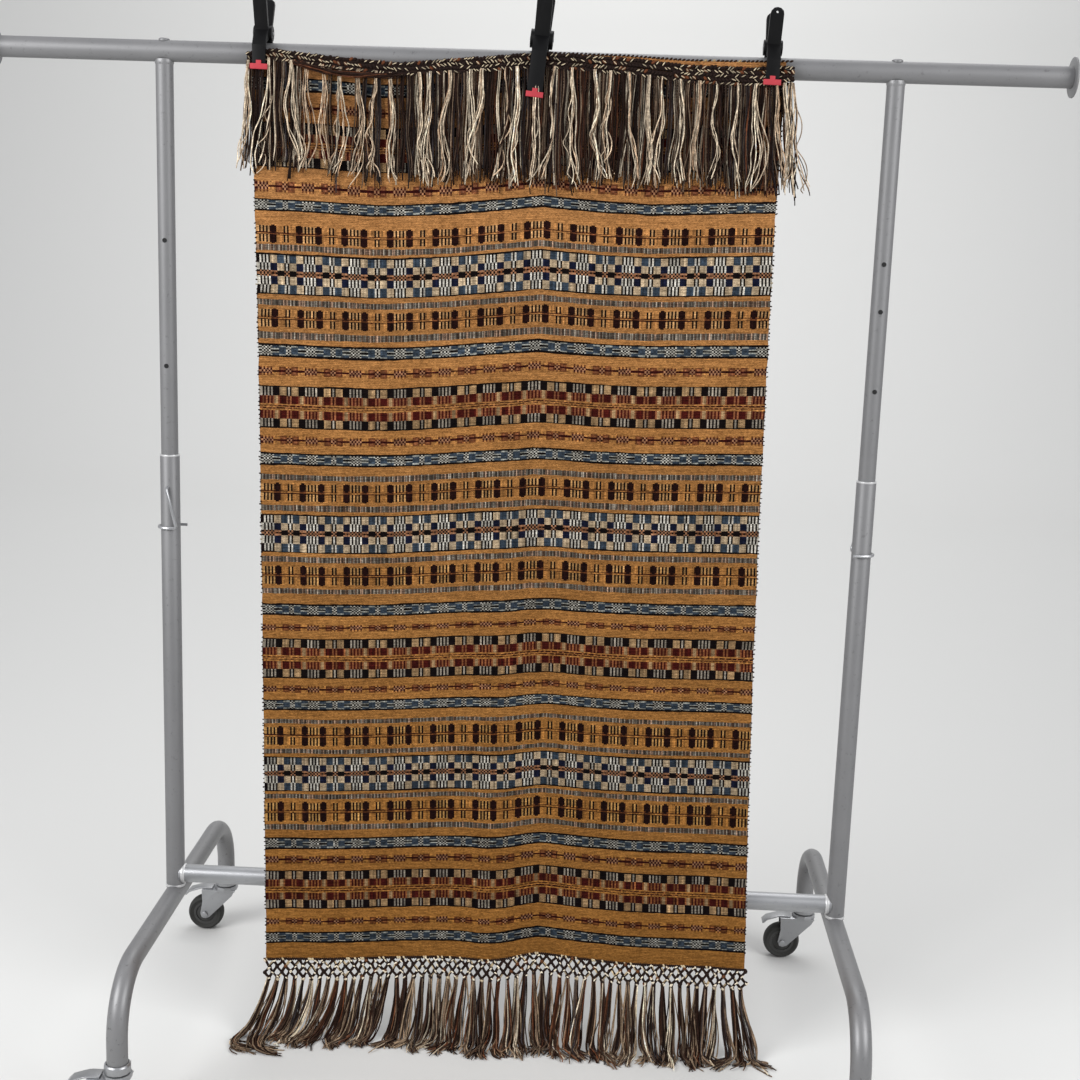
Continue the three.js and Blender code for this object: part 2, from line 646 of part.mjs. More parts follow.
function strandBody(points) {
  const rings = framesAlong(points, X_AXIS).slice(0, -1).map(strandRing);
  const tip = points[points.length - 1];
  const corners = rings.flat();
  const triangles = [0, 2, 1];
  for (let ring = 0; ring + 1 < rings.length; ring += 1) {
    for (let side = 0; side < 3; side += 1) {
      const a = ring * 3 + side;
      const b = ring * 3 + ((side + 1) % 3);
      triangles.push(a, b, b + 3, a, b + 3, a + 3);
    }
  }
  const last = corners.length - 3;
  for (let side = 0; side < 3; side += 1) {
    triangles.push(last + side, last + ((side + 1) % 3), corners.length);
  }
  return geometryFromTriangles([...corners, tip], triangles);
}

// Heading at the top end: a knotted strip below the turned-over edge, with its row of fringe strands
function buildTopFringe() {
  const stations = [HEADING.left];
  for (let c = 0; c <= RUG.columns; c += 1) stations.push(clothPoint(c / RUG.columns, RUG.top).x);
  stations.push(HEADING.right);
  const half = HEADING.thickness / 2;
  const rings = stations.map((x) => {
    const { top, bottom, middle } = headingAt(x);
    return [at(x, middle + half, bottom), at(x, middle + half, top), at(x, middle - half, top),
      at(x, middle - half, bottom)];
  });
  const strands = [];
  const pitch = (HEADING.right - HEADING.left) / HEADING.strands;
  for (let i = 0; i < HEADING.strands; i += 1) {
    strands.push(strandBody(topStrandRoute(HEADING.left + (i + 0.5) * pitch, i)));
  }
  addMesh('fringe_top', geometryOf(joined([loft(rings), ...strands])), MATERIALS.yarn);
}

function headingAt(x) {
  const share = (x - HEADING.left) / (HEADING.right - HEADING.left);
  const top = turnedEdge(x).end - GAP;
  const bottom = top - THREE.MathUtils.lerp(HEADING.heightLeft, HEADING.heightRight, share);
  return { top, bottom, middle: RUG.plane - 2 * TURN_OVER.radius };
}

function topStrandRoute(x, number) {
  const { bottom, middle } = headingAt(x);
  const tip = TOP_TIPS.height + TOP_TIPS.ragged * uneven(number);
  const flare = 36 * Math.exp((x - HEADING.right) / 40) - 16 * Math.exp((HEADING.left - x) / 25);
  const wave = 3 * Math.sin(x / 37) + 1.2 * Math.sin(x / 11 + 1);
  const lower = THREE.MathUtils.lerp(TOP_TIPS.forwardBelow, tip, 0.5);
  return [
    at(x, middle, bottom + STRAND.sunk),
    at(x + 0.1 * flare, middle, TOP_TIPS.forwardBelow),
    at(x + 0.5 * flare + wave, middle - 2, lower),
    at(x + flare + 0.5 * wave, middle - 1, tip),
  ];
}

// Heading at the bottom end: a knotted net with two staggered rows of diamond gaps
function buildBottomFringe() {
  const pitch = (NET.right - NET.left) / NET.tassels;
  const flat = netTriangles(pitch);
  const front = flat.points.map(([x, drop]) => netPoint(x, drop, -NET.thickness / 2));
  const back = flat.points.map(([x, drop]) => netPoint(x, drop, NET.thickness / 2));
  const count = front.length;
  const triangles = [];
  const edges = new Map();
  for (const [a, b, c] of flat.triangles) {
    triangles.push(a, b, c, count + a, count + c, count + b);
    for (const [from, to] of [[a, b], [b, c], [c, a]]) {
      if (!edges.delete(`${to} ${from}`)) edges.set(`${from} ${to}`, [from, to]);
    }
  }
  for (const [from, to] of edges.values()) {
    triangles.push(to, from, count + from, to, count + from, count + to);
  }
  const strands = [];
  const strandPitch = (NET.right - NET.left) / NET.strands;
  for (let i = 0; i < NET.strands; i += 1) {
    strands.push(strandBody(floorStrandRoute(NET.left + (i + 0.5) * strandPitch, i)));
  }
  const net = geometryFromTriangles([...front, ...back], triangles);
  addMesh('fringe_bottom', geometryOf(joined([net, ...strands])), MATERIALS.yarn);
}

// Half a tassel's width of the net: a lower gap at its left edge and an upper gap at its right edge
function netTriangles(pitch) {
  const half = pitch / 2;
  const { halfWidth, halfHeight, upperRow, lowerRow } = MESH;
  const outline = [[0, NET.height], [half, NET.height], [half, upperRow + halfHeight],
    [half - halfWidth, upperRow], [half, upperRow - halfHeight], [half, 0], [0, 0],
    [0, lowerRow - halfHeight], [halfWidth, lowerRow], [0, lowerRow + halfHeight]];
  const shape = outline.map(([x, drop]) => new THREE.Vector2(x, -drop));
  const cell = THREE.ShapeUtils.triangulateShape(shape, []);
  const points = [];
  const numbers = new Map();
  const triangles = [];
  for (let i = 0; i < 2 * NET.tassels; i += 1) {
    const mirrored = i % 2 === 1;
    const corners = outline.map(([x, drop]) => {
      const place = NET.left + i * half + (mirrored ? half - x : x);
      const key = `${place.toFixed(3)} ${drop}`;
      if (!numbers.has(key)) numbers.set(key, points.push([place, drop]) - 1);
      return numbers.get(key);
    });
    for (const triangle of cell) {
      const [a, b, c] = triangle.map((corner) => corners[corner]);
      triangles.push(mirrored ? [a, c, b] : [a, b, c]);
    }
  }
  return { points, triangles };
}

// The net hangs from the straight runs between the foot of one rug column and the next
function hemLine() {
  const line = [];
  for (let c = 0; c <= RUG.columns; c += 1) {
    const { x } = clothPoint(c / RUG.columns, RUG.hem);
    line.push({ x, height: hemHeight(x), depth: depthAt(x, hemHeight(x)) });
  }
  return line;
}

function netPoint(x, drop, out) {
  const height = readTable(HEM_LINE, x, 'height') - NET.gap - drop;
  return at(x, readTable(HEM_LINE, x, 'depth') + out, height);
}

function floorStrandRoute(x, number) {
  const root = netPoint(x, NET.height, 0);
  const sweep = 34 * Math.exp((x - NET.right) / 60) - 58 * (1 - THREE.MathUtils.smoothstep(x, -470, 120))
    + 3 * Math.sin(x / 29) + 1.2 * Math.sin(x / 9);
  const forward = FLOOR_TIPS.forward + FLOOR_TIPS.ragged * uneven(number + 200);
  const { landing } = FLOOR_TIPS;
  return [
    at(root.x, root.y, root.z + STRAND.sunk),
    at(root.x + 0.3 * sweep, root.y - 4, 0.55 * root.z),
    at(root.x + 0.65 * sweep, root.y - 9, 17),
    at(root.x + 0.8 * sweep, root.y - landing, STRAND.back),
    at(root.x + sweep, root.y - landing - forward, 0),
  ];
}

const HEM_LINE = hemLine();

buildRail();
buildPosts();
buildBase();
buildCasters();
buildClamps();
buildRug();
buildTopFringe();
buildBottomFringe();

// The origin is on the floor at the middle of the casters, and the posts stand a little in front of it
assembly.position.y = -(BASE.frontLeg + BASE.backLeg) / 2;

export default assembly;
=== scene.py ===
"""A woven rug with knotted fringes, hung by spring clamps from the rail of a wheeled clothes rack."""

import math

import bmesh
import bpy
import numpy as np
from mathutils import Matrix, Vector


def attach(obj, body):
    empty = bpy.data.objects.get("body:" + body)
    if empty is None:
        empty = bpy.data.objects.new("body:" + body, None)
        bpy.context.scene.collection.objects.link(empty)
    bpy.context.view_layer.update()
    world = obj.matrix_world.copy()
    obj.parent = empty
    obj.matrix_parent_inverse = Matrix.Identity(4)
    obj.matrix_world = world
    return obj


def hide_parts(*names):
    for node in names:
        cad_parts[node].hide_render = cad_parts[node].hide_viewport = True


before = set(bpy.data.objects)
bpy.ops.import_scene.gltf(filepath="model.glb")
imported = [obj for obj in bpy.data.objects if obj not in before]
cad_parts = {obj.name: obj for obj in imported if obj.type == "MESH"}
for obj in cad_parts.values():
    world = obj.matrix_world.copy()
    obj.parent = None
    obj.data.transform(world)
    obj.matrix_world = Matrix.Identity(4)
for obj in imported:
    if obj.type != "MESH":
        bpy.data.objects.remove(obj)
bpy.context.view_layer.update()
random = np.random.default_rng(7)
MM = 0.001
# The posts stand this far in front of the origin, which is midway between the casters
SHIFT = Vector((0, -11, 0))

# Camera: where the photograph was taken from, and which way it looks
CAMERA = {
    "place": (138.4, -2512.4, 1377.8),
    "pitch_down_deg": 11.487,
    "yaw_deg": 2.176,
    "roll_deg": 1.889,
    "focal_pixels": 1600,
    "frame_pixels": 1080,
    "sensor_mm": 36,
}

# Colours as they look: red, green and blue from 0 to 255
YARN_COLOURS = {
    "o": (160, 114, 66),  # ochre ground
    "k": (17, 11, 12),  # black-brown
    "a": (32, 14, 13),  # maroon-black of the bars
    "c": (182, 163, 136),  # cream
    "s": (54, 66, 80),  # steel blue
    "d": (54, 65, 78),  # slate
    "v": (146, 150, 146),  # pale slate
    "n": (21, 25, 46),  # navy
    "r": (66, 20, 16),  # dark red
    "p": (126, 80, 54),  # pinkish tan
    "i": (154, 112, 84),  # pink
    "b": (100, 60, 36),  # brown outline
    "t": (158, 130, 96),  # pale tan
    "m": (50, 14, 13),  # maroon
    "w": (198, 196, 188),  # off-white
    "l": (176, 138, 92),  # light tan between dark bars
    "h": (146, 139, 128),  # grey of thin white ends on black
    "g": (64, 58, 53),  # dark grey
    "q": (106, 100, 92),  # pale grey of the ticks
    "y": (172, 172, 166),  # dull white of the blue bands
}
FRINGE_COLOURS = {
    "dark": (42, 27, 21),
    "cream": (204, 191, 170),
    "rust": (88, 52, 34),
    "slate": (56, 51, 53),
    "tan": (114, 96, 80),
}
# Knots and cords: a colour, how often it comes, and the colour of the others
KNOT_COLOURS = {
    "tuft": ((150, 140, 120), 0.3, (38, 24, 20)),
    "heading": ((92, 54, 34), 0.12, (32, 22, 19)),
    "crest": ((40, 26, 19), 0.85, (150, 130, 96)),
    "net": ((36, 25, 21), 0.85, (96, 60, 38)),
    "cord": ((176, 158, 128), 0.09, (40, 28, 23)),
    "hem": ((196, 182, 152), 0.2, (36, 25, 21)),
    "tie": ((190, 176, 150), 0.25, (38, 27, 22)),
}
# Half the width, depth and height of each knot
KNOT_SIZES = {
    "heading": (2.5, 2.2, 3.9), "crest": (1.7, 2.8, 3.4), "net": (3.7, 3.0, 3.9),
    "hem": (1.8, 1.8, 3.2), "tie": (3.4, 3.0, 3.8),
}
CORD_COLOUR = (34, 24, 20)
LACING_COLOUR = (190, 176, 150)
DASH_COLOUR = (224, 214, 194)
DIRTY_CREAM = (146, 118, 94)
# The colour that some yarns of the floor tassels turn to towards their tips
PALER_TIP_COLOUR = (158, 136, 112)
LOOSE_YARNS = (150, 130, 108)
# Kinds of tassel: how often each comes, and its share of each of the five fringe colours
TASSEL_KINDS = [
    (0.50, (0.62, 0.03, 0.08, 0.09, 0.18)),
    (0.18, (0.36, 0.34, 0.04, 0.04, 0.22)),
    (0.14, (0.50, 0.04, 0.28, 0.04, 0.14)),
    (0.18, (0.34, 0.08, 0.04, 0.24, 0.30)),
]

# Pattern: the warp is threaded in blocks. Block A is four ends wide beside a group of seven narrow
# ends, and block B is four ends wide beside a group of three. These are the weft rows of each band
# from its top: the share of the band's height and the colours over each of these groups of ends
WARP_GROUPS = ("wideA", "seven", "wideB", "three")
WARP_REPEATS = 11
PATTERN_ROWS = {
    "blue": [
        (0.13, "kkkk kkkkkkk kkkk kkk"),
        (0.10, "dddd ykykyky vvvv kyk"),
        (0.10, "dddd kykykyk dddd yky"),
        (0.09, "vvvv ykykyky dddd kyk"),
        (0.14, "kkkk kykykyk dddd yky"),
        (0.09, "vvvv ykykyky dddd kyk"),
        (0.10, "dddd kykykyk dddd yky"),
        (0.10, "dddd ykykyky vvvv kyk"),
        (0.15, "kkkk kkkkkkk kkkk kkk"),
    ],
    "chain": [
        (0.16, "oooo bobobob bbbb obo"),
        (0.20, "oooo mimimim bppb mim"),
        (0.22, "mmmm imimimi mmmm imi"),
        (0.22, "oooo mimimim bppb mim"),
        (0.18, "oooo bobobob bbbb obo"),
    ],
    "bars": [
        (0.06, "oaao ooooooo oooo ooo"),
        (0.33, "aaaa lklklkl oooo klk"),
        (0.05, "baab okokoko oooo kok"),
        (0.04, "aaaa mmmmmmm mmmm mmm"),
        (0.06, "bbbb ooooooo oooo ooo"),
        (0.04, "aaaa mkmkmkm mmmm kmk"),
        (0.38, "aaaa lklklkl oooo klk"),
        (0.05, "oaao ooooooo oooo ooo"),
    ],
    "ticks": [
        (1.0, "qgqg qgqgqgq gqgq gqg"),
    ],
    "check": [
        (0.035, "kkkk kkkkkkk kkkk kkk"),
        (0.20, "cccc kwkwkwk ssss wkw"),
        (0.18, "nnnn wkwkwkw cccc kwk"),
        (0.045, "iiii kikikik kkkk iki"),
        (0.05, "bkbk ikikiki kkkk kik"),
        (0.045, "iiii kikikik kkkk iki"),
        (0.20, "nnnn wkwkwkw cccc kwk"),
        (0.21, "cccc kwkwkwk ssss wkw"),
        (0.035, "kkkk kkkkkkk kkkk kkk"),
    ],
    "squares": [
        (0.03, "kkkk kkkkkkk kkkk kkk"),
        (0.20, "kkkk hkhkhkh tttt khk"),
        (0.195, "pttp rprprpr rrrr prp"),
        (0.035, "oooo ooooooo oooo ooo"),
        (0.025, "mmpm mpmmpmm mpmm mpm"),
        (0.03, "oooo ooooooo oooo ooo"),
        (0.025, "mpmm pmmpmmp mmmp pmm"),
        (0.035, "oooo ooooooo oooo ooo"),
        (0.195, "pttp rprprpr rrrr prp"),
        (0.20, "kkkk hkhkhkh tttt khk"),
        (0.03, "kkkk kkkkkkk kkkk kkk"),
    ],
}
# The bands from the top: the height of each one's upper edge at x -190, and its own height
BANDS = [
    ("blue", 1563.5, 20), ("chain", 1527.5, 14), ("squares", 1498.6, 66), ("chain", 1412.4, 16.3),
    ("blue", 1385.6, 17.9), ("bars", 1348, 27.7), ("ticks", 1318.1, 8.8), ("check", 1304.7, 61.5),
    ("ticks", 1235.7, 8.9), ("bars", 1221.8, 29.2), ("ticks", 1186.4, 10.6), ("blue", 1167.9, 20.3),
    ("chain", 1133, 13.5), ("squares", 1104.1, 66.6), ("chain", 1025.6, 13.5), ("blue", 999.2, 19.7),
    ("ticks", 965, 8.8), ("bars", 952, 30.2), ("ticks", 916.6, 9.4), ("check", 901.9, 62),
    ("ticks", 833.8, 9), ("bars", 819.2, 32.2), ("ticks", 782.1, 8.4), ("blue", 757.4, 19.8),
    ("chain", 723.2, 10.5), ("squares", 700.2, 66.4), ("chain", 621.2, 11.2), ("blue", 598.2, 18.4),
    ("ticks", 565, 6.8), ("bars", 553.7, 34), ("ticks", 514.5, 7.6), ("check", 501.5, 59.3),
    ("ticks", 437.5, 7.9), ("bars", 424.7, 35.4), ("ticks", 385.1, 9), ("blue", 362, 20.5),
    ("chain", 330.6, 14), ("squares", 304.6, 67.2), ("chain", 220.4, 11.9), ("blue", 195.9, 19.6),
]
# The plain rows between the bands are about this high
GROUND_STEP = 11
# From the top down every yarn gets darker, and the warm ones turn browner
TONE_BY_HEIGHT = {"top": 1600, "height": 1450, "turned_edge": 1590, "start": 1.02, "by_row": 0.05, "hem": 0.17}
WARM_YARNS = "olbp"
COOL_YARN_TONE = 0.95
# The dashes of the tick bands: how pale, how dark, and how warm some of them are
TICKS = {"pale": (1.3, 1.9), "dark": (0.15, 0.45), "warm": (1.12, 1.0, 0.94), "warm_share": 0.35}
# Shades over the whole cloth: how fine across and down, and the darkest and lightest factor
WEAVE_SHADES = [
    ((300, 620, 1), 0.55, 1.36), ((16, 300, 1), 0.72, 1.2), ((110, 190, 1), 0.66, 1.26),
    ((11, 16, 1), 0.84, 1.1),
]

# The cloth: how far each weft row rises above its height at x -190, near the top, half way and
# at the hem
RISE = [
    (-420, 4, -6, -12), (-310, 2, -5, -8), (-230, -1, -2, -3), (-190, 0, 0, 0), (-110, 5, 7, 5),
    (-30, 14, 15, 8), (30, 22, 20, 14), (60, 19, 20, 18), (120, 15, 19, 16), (200, 13, 19, 12),
    (280, 17, 21, 12), (420, 24, 24, 12),
]
# The upper edge: place across, height, and how much of the cloth is turned over to the front
UPPER_EDGE = [
    (-422, 1602, 2), (-382, 1608, 2), (-300, 1600, 2), (-191, 1593, 2), (-90, 1603, 2),
    (20, 1615, 3), (148, 1614, 6), (243, 1610, 10), (337, 1611, 12), (400, 1613, 10),
]
# Soft upright folds: place across, width, and how far each stands forward at the top and the hem
FOLDS = [
    (-400, 35, 0, 6), (-300, 90, 0, 4), (-12, 42, 3, 12), (66, 42, -2, -7), (250, 100, 1, 4),
    (395, 35, 0, 5),
]
RUG = {"plane": -20, "lean": 8, "hem": 148, "top": 1604, "rise_top": 1420, "thickness": 2}
TURN_RADIUS = 2.2
FOLD_TOP = 1564
# The selvedges: how they run over this height, with the left one leaning out to the top and the
# right one flaring at the hem
SELVEDGES = {"height": 1280, "left": -393, "lean": 15, "right": 385, "hem_flare": 23, "top_flare": 5}

# Fringes
HEADING_PLANE = -24.4
TUFT_PITCH = 7
# The guide that the sections of sideways yarns are set out from
UPRIGHT = (0.01, 0.02, 1)
TOP_HEADING = {"left": -422, "right": 400, "height_left": 9, "height_right": 21, "pitch": 5.4}
CURTAIN = {
    "pitch": 5.7, "yarns": 6, "ragged": 8, "uneven": 5, "swing": (1, 4.5), "pace": (4, 9), "bow": 3.2,
    "radius": (0.85, 1.25), "tone": 0.8, "points": 13,
}
PALE_TASSELS = {
    "pitch": 27, "yarns": 6, "ragged": 6, "uneven": 7, "lean": 8, "swing": (2, 8.5), "pace": (5, 10),
    "bow": (1, 6), "curl": (0.8, 1.9), "loose_share": 0.18, "loose_curl": (3, 9),
    "curl_pace": (12, 26), "radius": (0.75, 1.2), "dark_share": 0.16, "points": 34,
}
HANK = {"yarns": 18, "left": -352, "right": -188}
# How full the dark curtain behind the pale tassels is, by place across
CURTAIN_SHARE = [
    (-422, 1), (-345, 1), (-338, 0), (-306, 0), (-300, 0.3), (-235, 0.35), (-200, 0.75), (-180, 1),
    (400, 1),
]
# Where the top fringe ends, by place across
TOP_TIPS = [(-422, 1440), (-335, 1440), (-290, 1429), (60, 1432), (200, 1434), (400, 1430)]
NET = {"left": -396, "right": 410, "height": 35, "tassels": 56}
NET_ROWS = (3, 13, 24, 34)
FLOOR_TASSELS = {
    "yarns": 24, "landing": 22, "forward": 13, "knee": 0.74, "bend": 9, "bow": (0.5, 3.8),
    "loose_share": 0.09, "wave": (1, 4.5), "aside": 9, "radius": (1.0, 1.55), "pile": 9,
    "hooked": 3, "hook_back": 46, "hook_out": 32, "points": 19,
}
# The waves of the yarns start anywhere in a full turn
FULL_TURN = 6.28
# How far a yarn twists from one of its points to the next, and how uneven its colour is
YARN_TWIST = 0.35
YARN_SHADE = 0.12

# The rack
RAIL = {"radius": 16, "height": 1604, "half": 815}
POST = {"x": 555, "upper": 13.5, "lower": 15.5, "foot": 244, "joint": 983, "inside": 960, "top": 1590}
BASE = {"radius": 16, "height": 234, "front": -336, "back": 358, "leg_end": 100, "bend": 95}
CROSSBAR = {"radius": 15, "height": 268, "half": 547}
# The adjusting holes, drawn as thin discs of painted shade on the posts: their heights, and the discs'
# front and back and radius
ADJUSTING_HEIGHTS = {"left": (1320, 1125), "right": (1320, 1248, 1125)}
ADJUSTING_HOLE = {"ends": (-13.3, -13.9), "radius": 3.6}
# Rings round the posts and the crossbar's ends: places along them and radii
POST_RIM = ((1584, 1586, 1590, 1592), (13.6, 14.3, 14.3, 13.8))
JOINT_RIM = ((980.6, 982, 983.2, 983.4), (15.6, 15.9, 15.6, 14.2))
POST_WELD = ((246, 248, 250.5), (15.6, 16.6, 15.7))
CROSSBAR_WELD = ((537, 539, 543), (15.2, 16.6, 15.8))
WHEEL = {"radius": 34, "half_width": 13, "trail": 39, "height": 34, "shoulder": 5, "tyre_depth": 11}
# A hub's side from its bore to the tyre: radius, and depth below the side of the tyre
HUB_STEPS = [(5, 1), (9, 1), (9.5, 4), (17, 4.5), (18, 2.5), (23.5, 2.5)]
SOFT_EDGES = {
    "disc": 0.8, "arm": 1.1, "pad": 0.4, "collar": 0.6, "fork": 0.5, "lever": 0.4, "axle": 0.5,
}

# Studio, in metres and watts
STUDIO = {"half_width": 9.0, "front": -8.0, "back": 7.5, "height": 8.0, "bend": 2.5}
FLOOR_COLOUR = (206, 206, 204)
SKY = {"colour": (0.95, 0.96, 1.0, 1), "strength": 0.58}
# Lights: place, target, size and power. The last one is for the backdrop
STUDIO_LIGHTS = [
    ((-2.2, -1.9, 2.3), (0, 0, 1.3), 1.8, 92), ((2.4, -1.7, 2.2), (0, 0, 1.3), 1.8, 64),
    ((0.2, 1.4, 3.6), (0, 0, 1.3), 2.4, 35), ((0, 4.4, 5.6), (0, 7.5, 2.4), 3.0, 190),
]


def lerp(a, b, t):
    return a + (b - a) * t


def read_table(table, x, column):
    places = [row[0] for row in table]
    return np.interp(x, places, [row[column] for row in table])


def linear(colour):
    """An sRGB colour of 0 to 255 as linear values of 0 to 1."""
    value = np.asarray(colour, float) / 255
    return np.where(value <= 0.04045, value / 12.92, ((value + 0.055) / 1.055) ** 2.4)


def link(name, data):
    """A new object in the scene."""
    item = bpy.data.objects.new(name, data)
    bpy.context.scene.collection.objects.link(item)
    return item


def new_object(name, vertices, faces, material):
    """A smooth mesh object from arrays in millimetres, riding on the only body."""
    mesh = bpy.data.meshes.new(name)
    mesh.from_pydata((np.asarray(vertices, float) + SHIFT) * MM, [], faces)
    mesh.validate()
    mesh.update()
    mesh.polygons.foreach_set("use_smooth", [True] * len(mesh.polygons))
    mesh.materials.append(material)
    piece = link(name, mesh)
    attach(piece, "root")
    return piece


def write_colours(mesh, values, domain):
    """Stores yarn colours of 0 to 255, one for each corner or point of the mesh."""
    layer = mesh.color_attributes.new("yarn", "FLOAT_COLOR", domain)
    flat = linear(np.clip(values, 0, 255).reshape(-1, 3))
    layer.data.foreach_set("color", np.hstack([flat, np.ones((len(flat), 1))]).ravel())


# Materials


class Nodes:
    """A short way to write a material's node tree."""

    def __init__(self, name):
        self.material = bpy.data.materials.new(name)
        self.material.use_nodes = True
        self.tree = self.material.node_tree
        self.shader = self.tree.nodes["Principled BSDF"]

    def add(self, kind, inputs=None, **settings):
        node = self.tree.nodes.new(kind)
        for key, value in settings.items():
            setattr(node, key, value)
        for key, value in (inputs or {}).items():
            self.feed(node, key, value)
        return node

    def feed(self, node, key, value):
        if isinstance(value, bpy.types.NodeSocket):
            self.tree.links.new(value, node.inputs[key])
        else:
            node.inputs[key].default_value = value

    def math(self, operation, *values):
        node = self.add("ShaderNodeMath", operation=operation)
        for index, value in enumerate(values):
            self.feed(node, index, value)
        return node.outputs[0]

    def noise(self, place, scale, detail, roughness):
        inputs = {"Vector": place, "Scale": scale, "Detail": detail, "Roughness": roughness}
        return self.add("ShaderNodeTexNoise", inputs).outputs["Fac"]

    def ramp(self, value, low, high, low_colour=(0, 0, 0, 1), high_colour=(1, 1, 1, 1)):
        node = self.add("ShaderNodeValToRGB", {"Fac": value})
        node.color_ramp.elements[0].position = low
        node.color_ramp.elements[1].position = high
        node.color_ramp.elements[0].color = low_colour
        node.color_ramp.elements[1].color = high_colour
        return node.outputs["Color"]

    def mix(self, share, first, second, blend="MIX"):
        node = self.add("ShaderNodeMix", data_type="RGBA", blend_type=blend)
        self.feed(node, 0, share)
        self.feed(node, 6, first)
        self.feed(node, 7, second)
        return node.outputs[2]

    def vary(self, value, middle, spread):
        """The middle value, more or less by half the spread."""
        return self.math("MULTIPLY_ADD", value, spread, middle - spread / 2)

    def surface(self, inputs):
        for key, value in inputs.items():
            self.feed(self.shader, key, value)

    def bump(self, height, strength, distance):
        inputs = {"Height": height, "Strength": strength, "Distance": distance}
        self.feed(self.shader, "Normal", self.add("ShaderNodeBump", inputs).outputs["Normal"])

    def position(self):
        return self.add("ShaderNodeTexCoord").outputs["Object"]


def rgba(colour, factor=1, lift=0):
    return (*linear([min(255, c * factor + lift) for c in colour]), 1)


def metal(name, colour, metallic, roughness, wear, grain=900):
    nodes = Nodes(name)
    place = nodes.position()
    cloudy = nodes.noise(place, scale=9, detail=4, roughness=0.6)
    scuffs = nodes.ramp(nodes.noise(place, scale=130, detail=5, roughness=0.7), low=0.6, high=0.72)
    base = nodes.mix(cloudy, rgba(colour, factor=0.93), rgba(colour, factor=1.05))
    marks = nodes.math("MULTIPLY", scuffs, wear)
    base = nodes.mix(marks, base, rgba(colour, factor=0.62))
    uneven = nodes.vary(cloudy, roughness, 0.18)
    nodes.surface({"Base Color": base, "Metallic": metallic, "Roughness": uneven})
    fine = nodes.noise(place, scale=grain, detail=2, roughness=0.5)
    nodes.bump(fine, strength=0.08, distance=0.0004)
    return nodes.material


def plastic(name, colour, roughness, shine=0.5):
    nodes = Nodes(name)
    place = nodes.position()
    dust = nodes.noise(place, scale=60, detail=4, roughness=0.6)
    dusty = nodes.mix(dust, rgba(colour), rgba(colour, factor=1.2, lift=4))
    uneven = nodes.vary(dust, roughness, 0.2)
    nodes.surface({"Base Color": dusty, "Roughness": uneven, "Specular IOR Level": shine})
    fine = nodes.noise(place, scale=1500, detail=2, roughness=0.5)
    nodes.bump(fine, strength=0.15, distance=0.0003)
    return nodes.material


def woven(name):
    """Cloth coloured by its own yarns, with the ribs of the weave, worn patches and soft stains."""
    nodes = Nodes(name)
    place = nodes.position()
    shade = nodes.add("ShaderNodeVertexColor", layer_name="yarn").outputs["Color"]
    weave = nodes.add("ShaderNodeUVMap", uv_map="weave").outputs["UV"]
    marks = []
    for scale, darkest, lightest in WEAVE_SHADES:
        where = nodes.add("ShaderNodeMapping", {"Vector": weave, "Scale": scale}).outputs[0]
        marks.append(nodes.noise(where, scale=1, detail=3, roughness=0.65))
        low = (darkest, darkest * 0.97, darkest * 0.93, 1)
        tint = nodes.ramp(marks[-1], 0.3, 0.7, low, (lightest, lightest, lightest, 1))
        shade = nodes.mix(1, shade, tint, "MULTIPLY")
    stains = nodes.noise(place, scale=26, detail=4, roughness=0.7)
    stains = nodes.ramp(stains, 0.62, 0.78, (1, 1, 1, 1), (0.62, 0.55, 0.5, 1))
    shade = nodes.mix(0.8, shade, stains, "MULTIPLY")
    nodes.surface({"Base Color": shade, "Roughness": 0.95, "Specular IOR Level": 0.05})
    rib_inputs = {"Vector": weave, "Scale": 120, "Distortion": 2, "Detail": 2, "Detail Scale": 2}
    ribs = nodes.add("ShaderNodeTexWave", rib_inputs, bands_direction="Y")
    height = nodes.math("MULTIPLY_ADD", marks[0], 1.4, ribs.outputs["Fac"])
    height = nodes.math("MULTIPLY_ADD", marks[2], 1.6, height)
    nodes.bump(height, strength=0.7, distance=0.0014)
    return nodes.material


def yarn_material(name):
    nodes = Nodes(name)
    place = nodes.position()
    yarn = nodes.add("ShaderNodeVertexColor", layer_name="yarn").outputs["Color"]
    # The same noise raises the twist of each yarn as a bump and gives it painted shade and painted
    # highlight, darker and lighter patches along the yarn
    twist = nodes.noise(place, scale=420, detail=3, roughness=0.7)
    shade = nodes.ramp(twist, 0.3, 0.72, (0.45, 0.42, 0.4, 1), (1.4, 1.38, 1.34, 1))
    shade = nodes.mix(0.85, yarn, shade, "MULTIPLY")
    nodes.surface({"Base Color": shade, "Roughness": 0.9, "Specular IOR Level": 0.12})
    nodes.bump(twist, strength=0.6, distance=0.0006)
    return nodes.material


PAINT = metal("silver_paint", (116, 116, 117), metallic=0.3, roughness=0.48, wear=0.6)
# A lighter copy of the silver paint for the base tubes and the post rims: its scuffs are wear, and its
# lighter colour is a painted highlight for the light falling on these parts
WORN_PAINT_WITH_HIGHLIGHT = metal("worn_paint_with_painted_highlight", (126, 126, 127), metallic=0.4, roughness=0.42, wear=0.95, grain=500)
# A pale grey for the joint rims and the welds: their paleness is a painted highlight along these
# rounded edges
RING_PAINTED_HIGHLIGHT = metal("painted_highlight_ring", (196, 196, 196), metallic=0.5, roughness=0.4, wear=0.2)
BARE_STEEL = metal("plated_steel", (160, 161, 163), metallic=0.75, roughness=0.36, wear=0.3)
TYRE = plastic("grey_tyre", (34, 34, 32), roughness=0.7)
HUB = plastic("dark_hub", (46, 46, 45), roughness=0.5)
CLAMP_BLACK = plastic("black_plastic", (4, 4, 5), roughness=0.46, shine=0.18)
PAD_RED = plastic("red_pad", (146, 47, 54), roughness=0.65, shine=0.2)
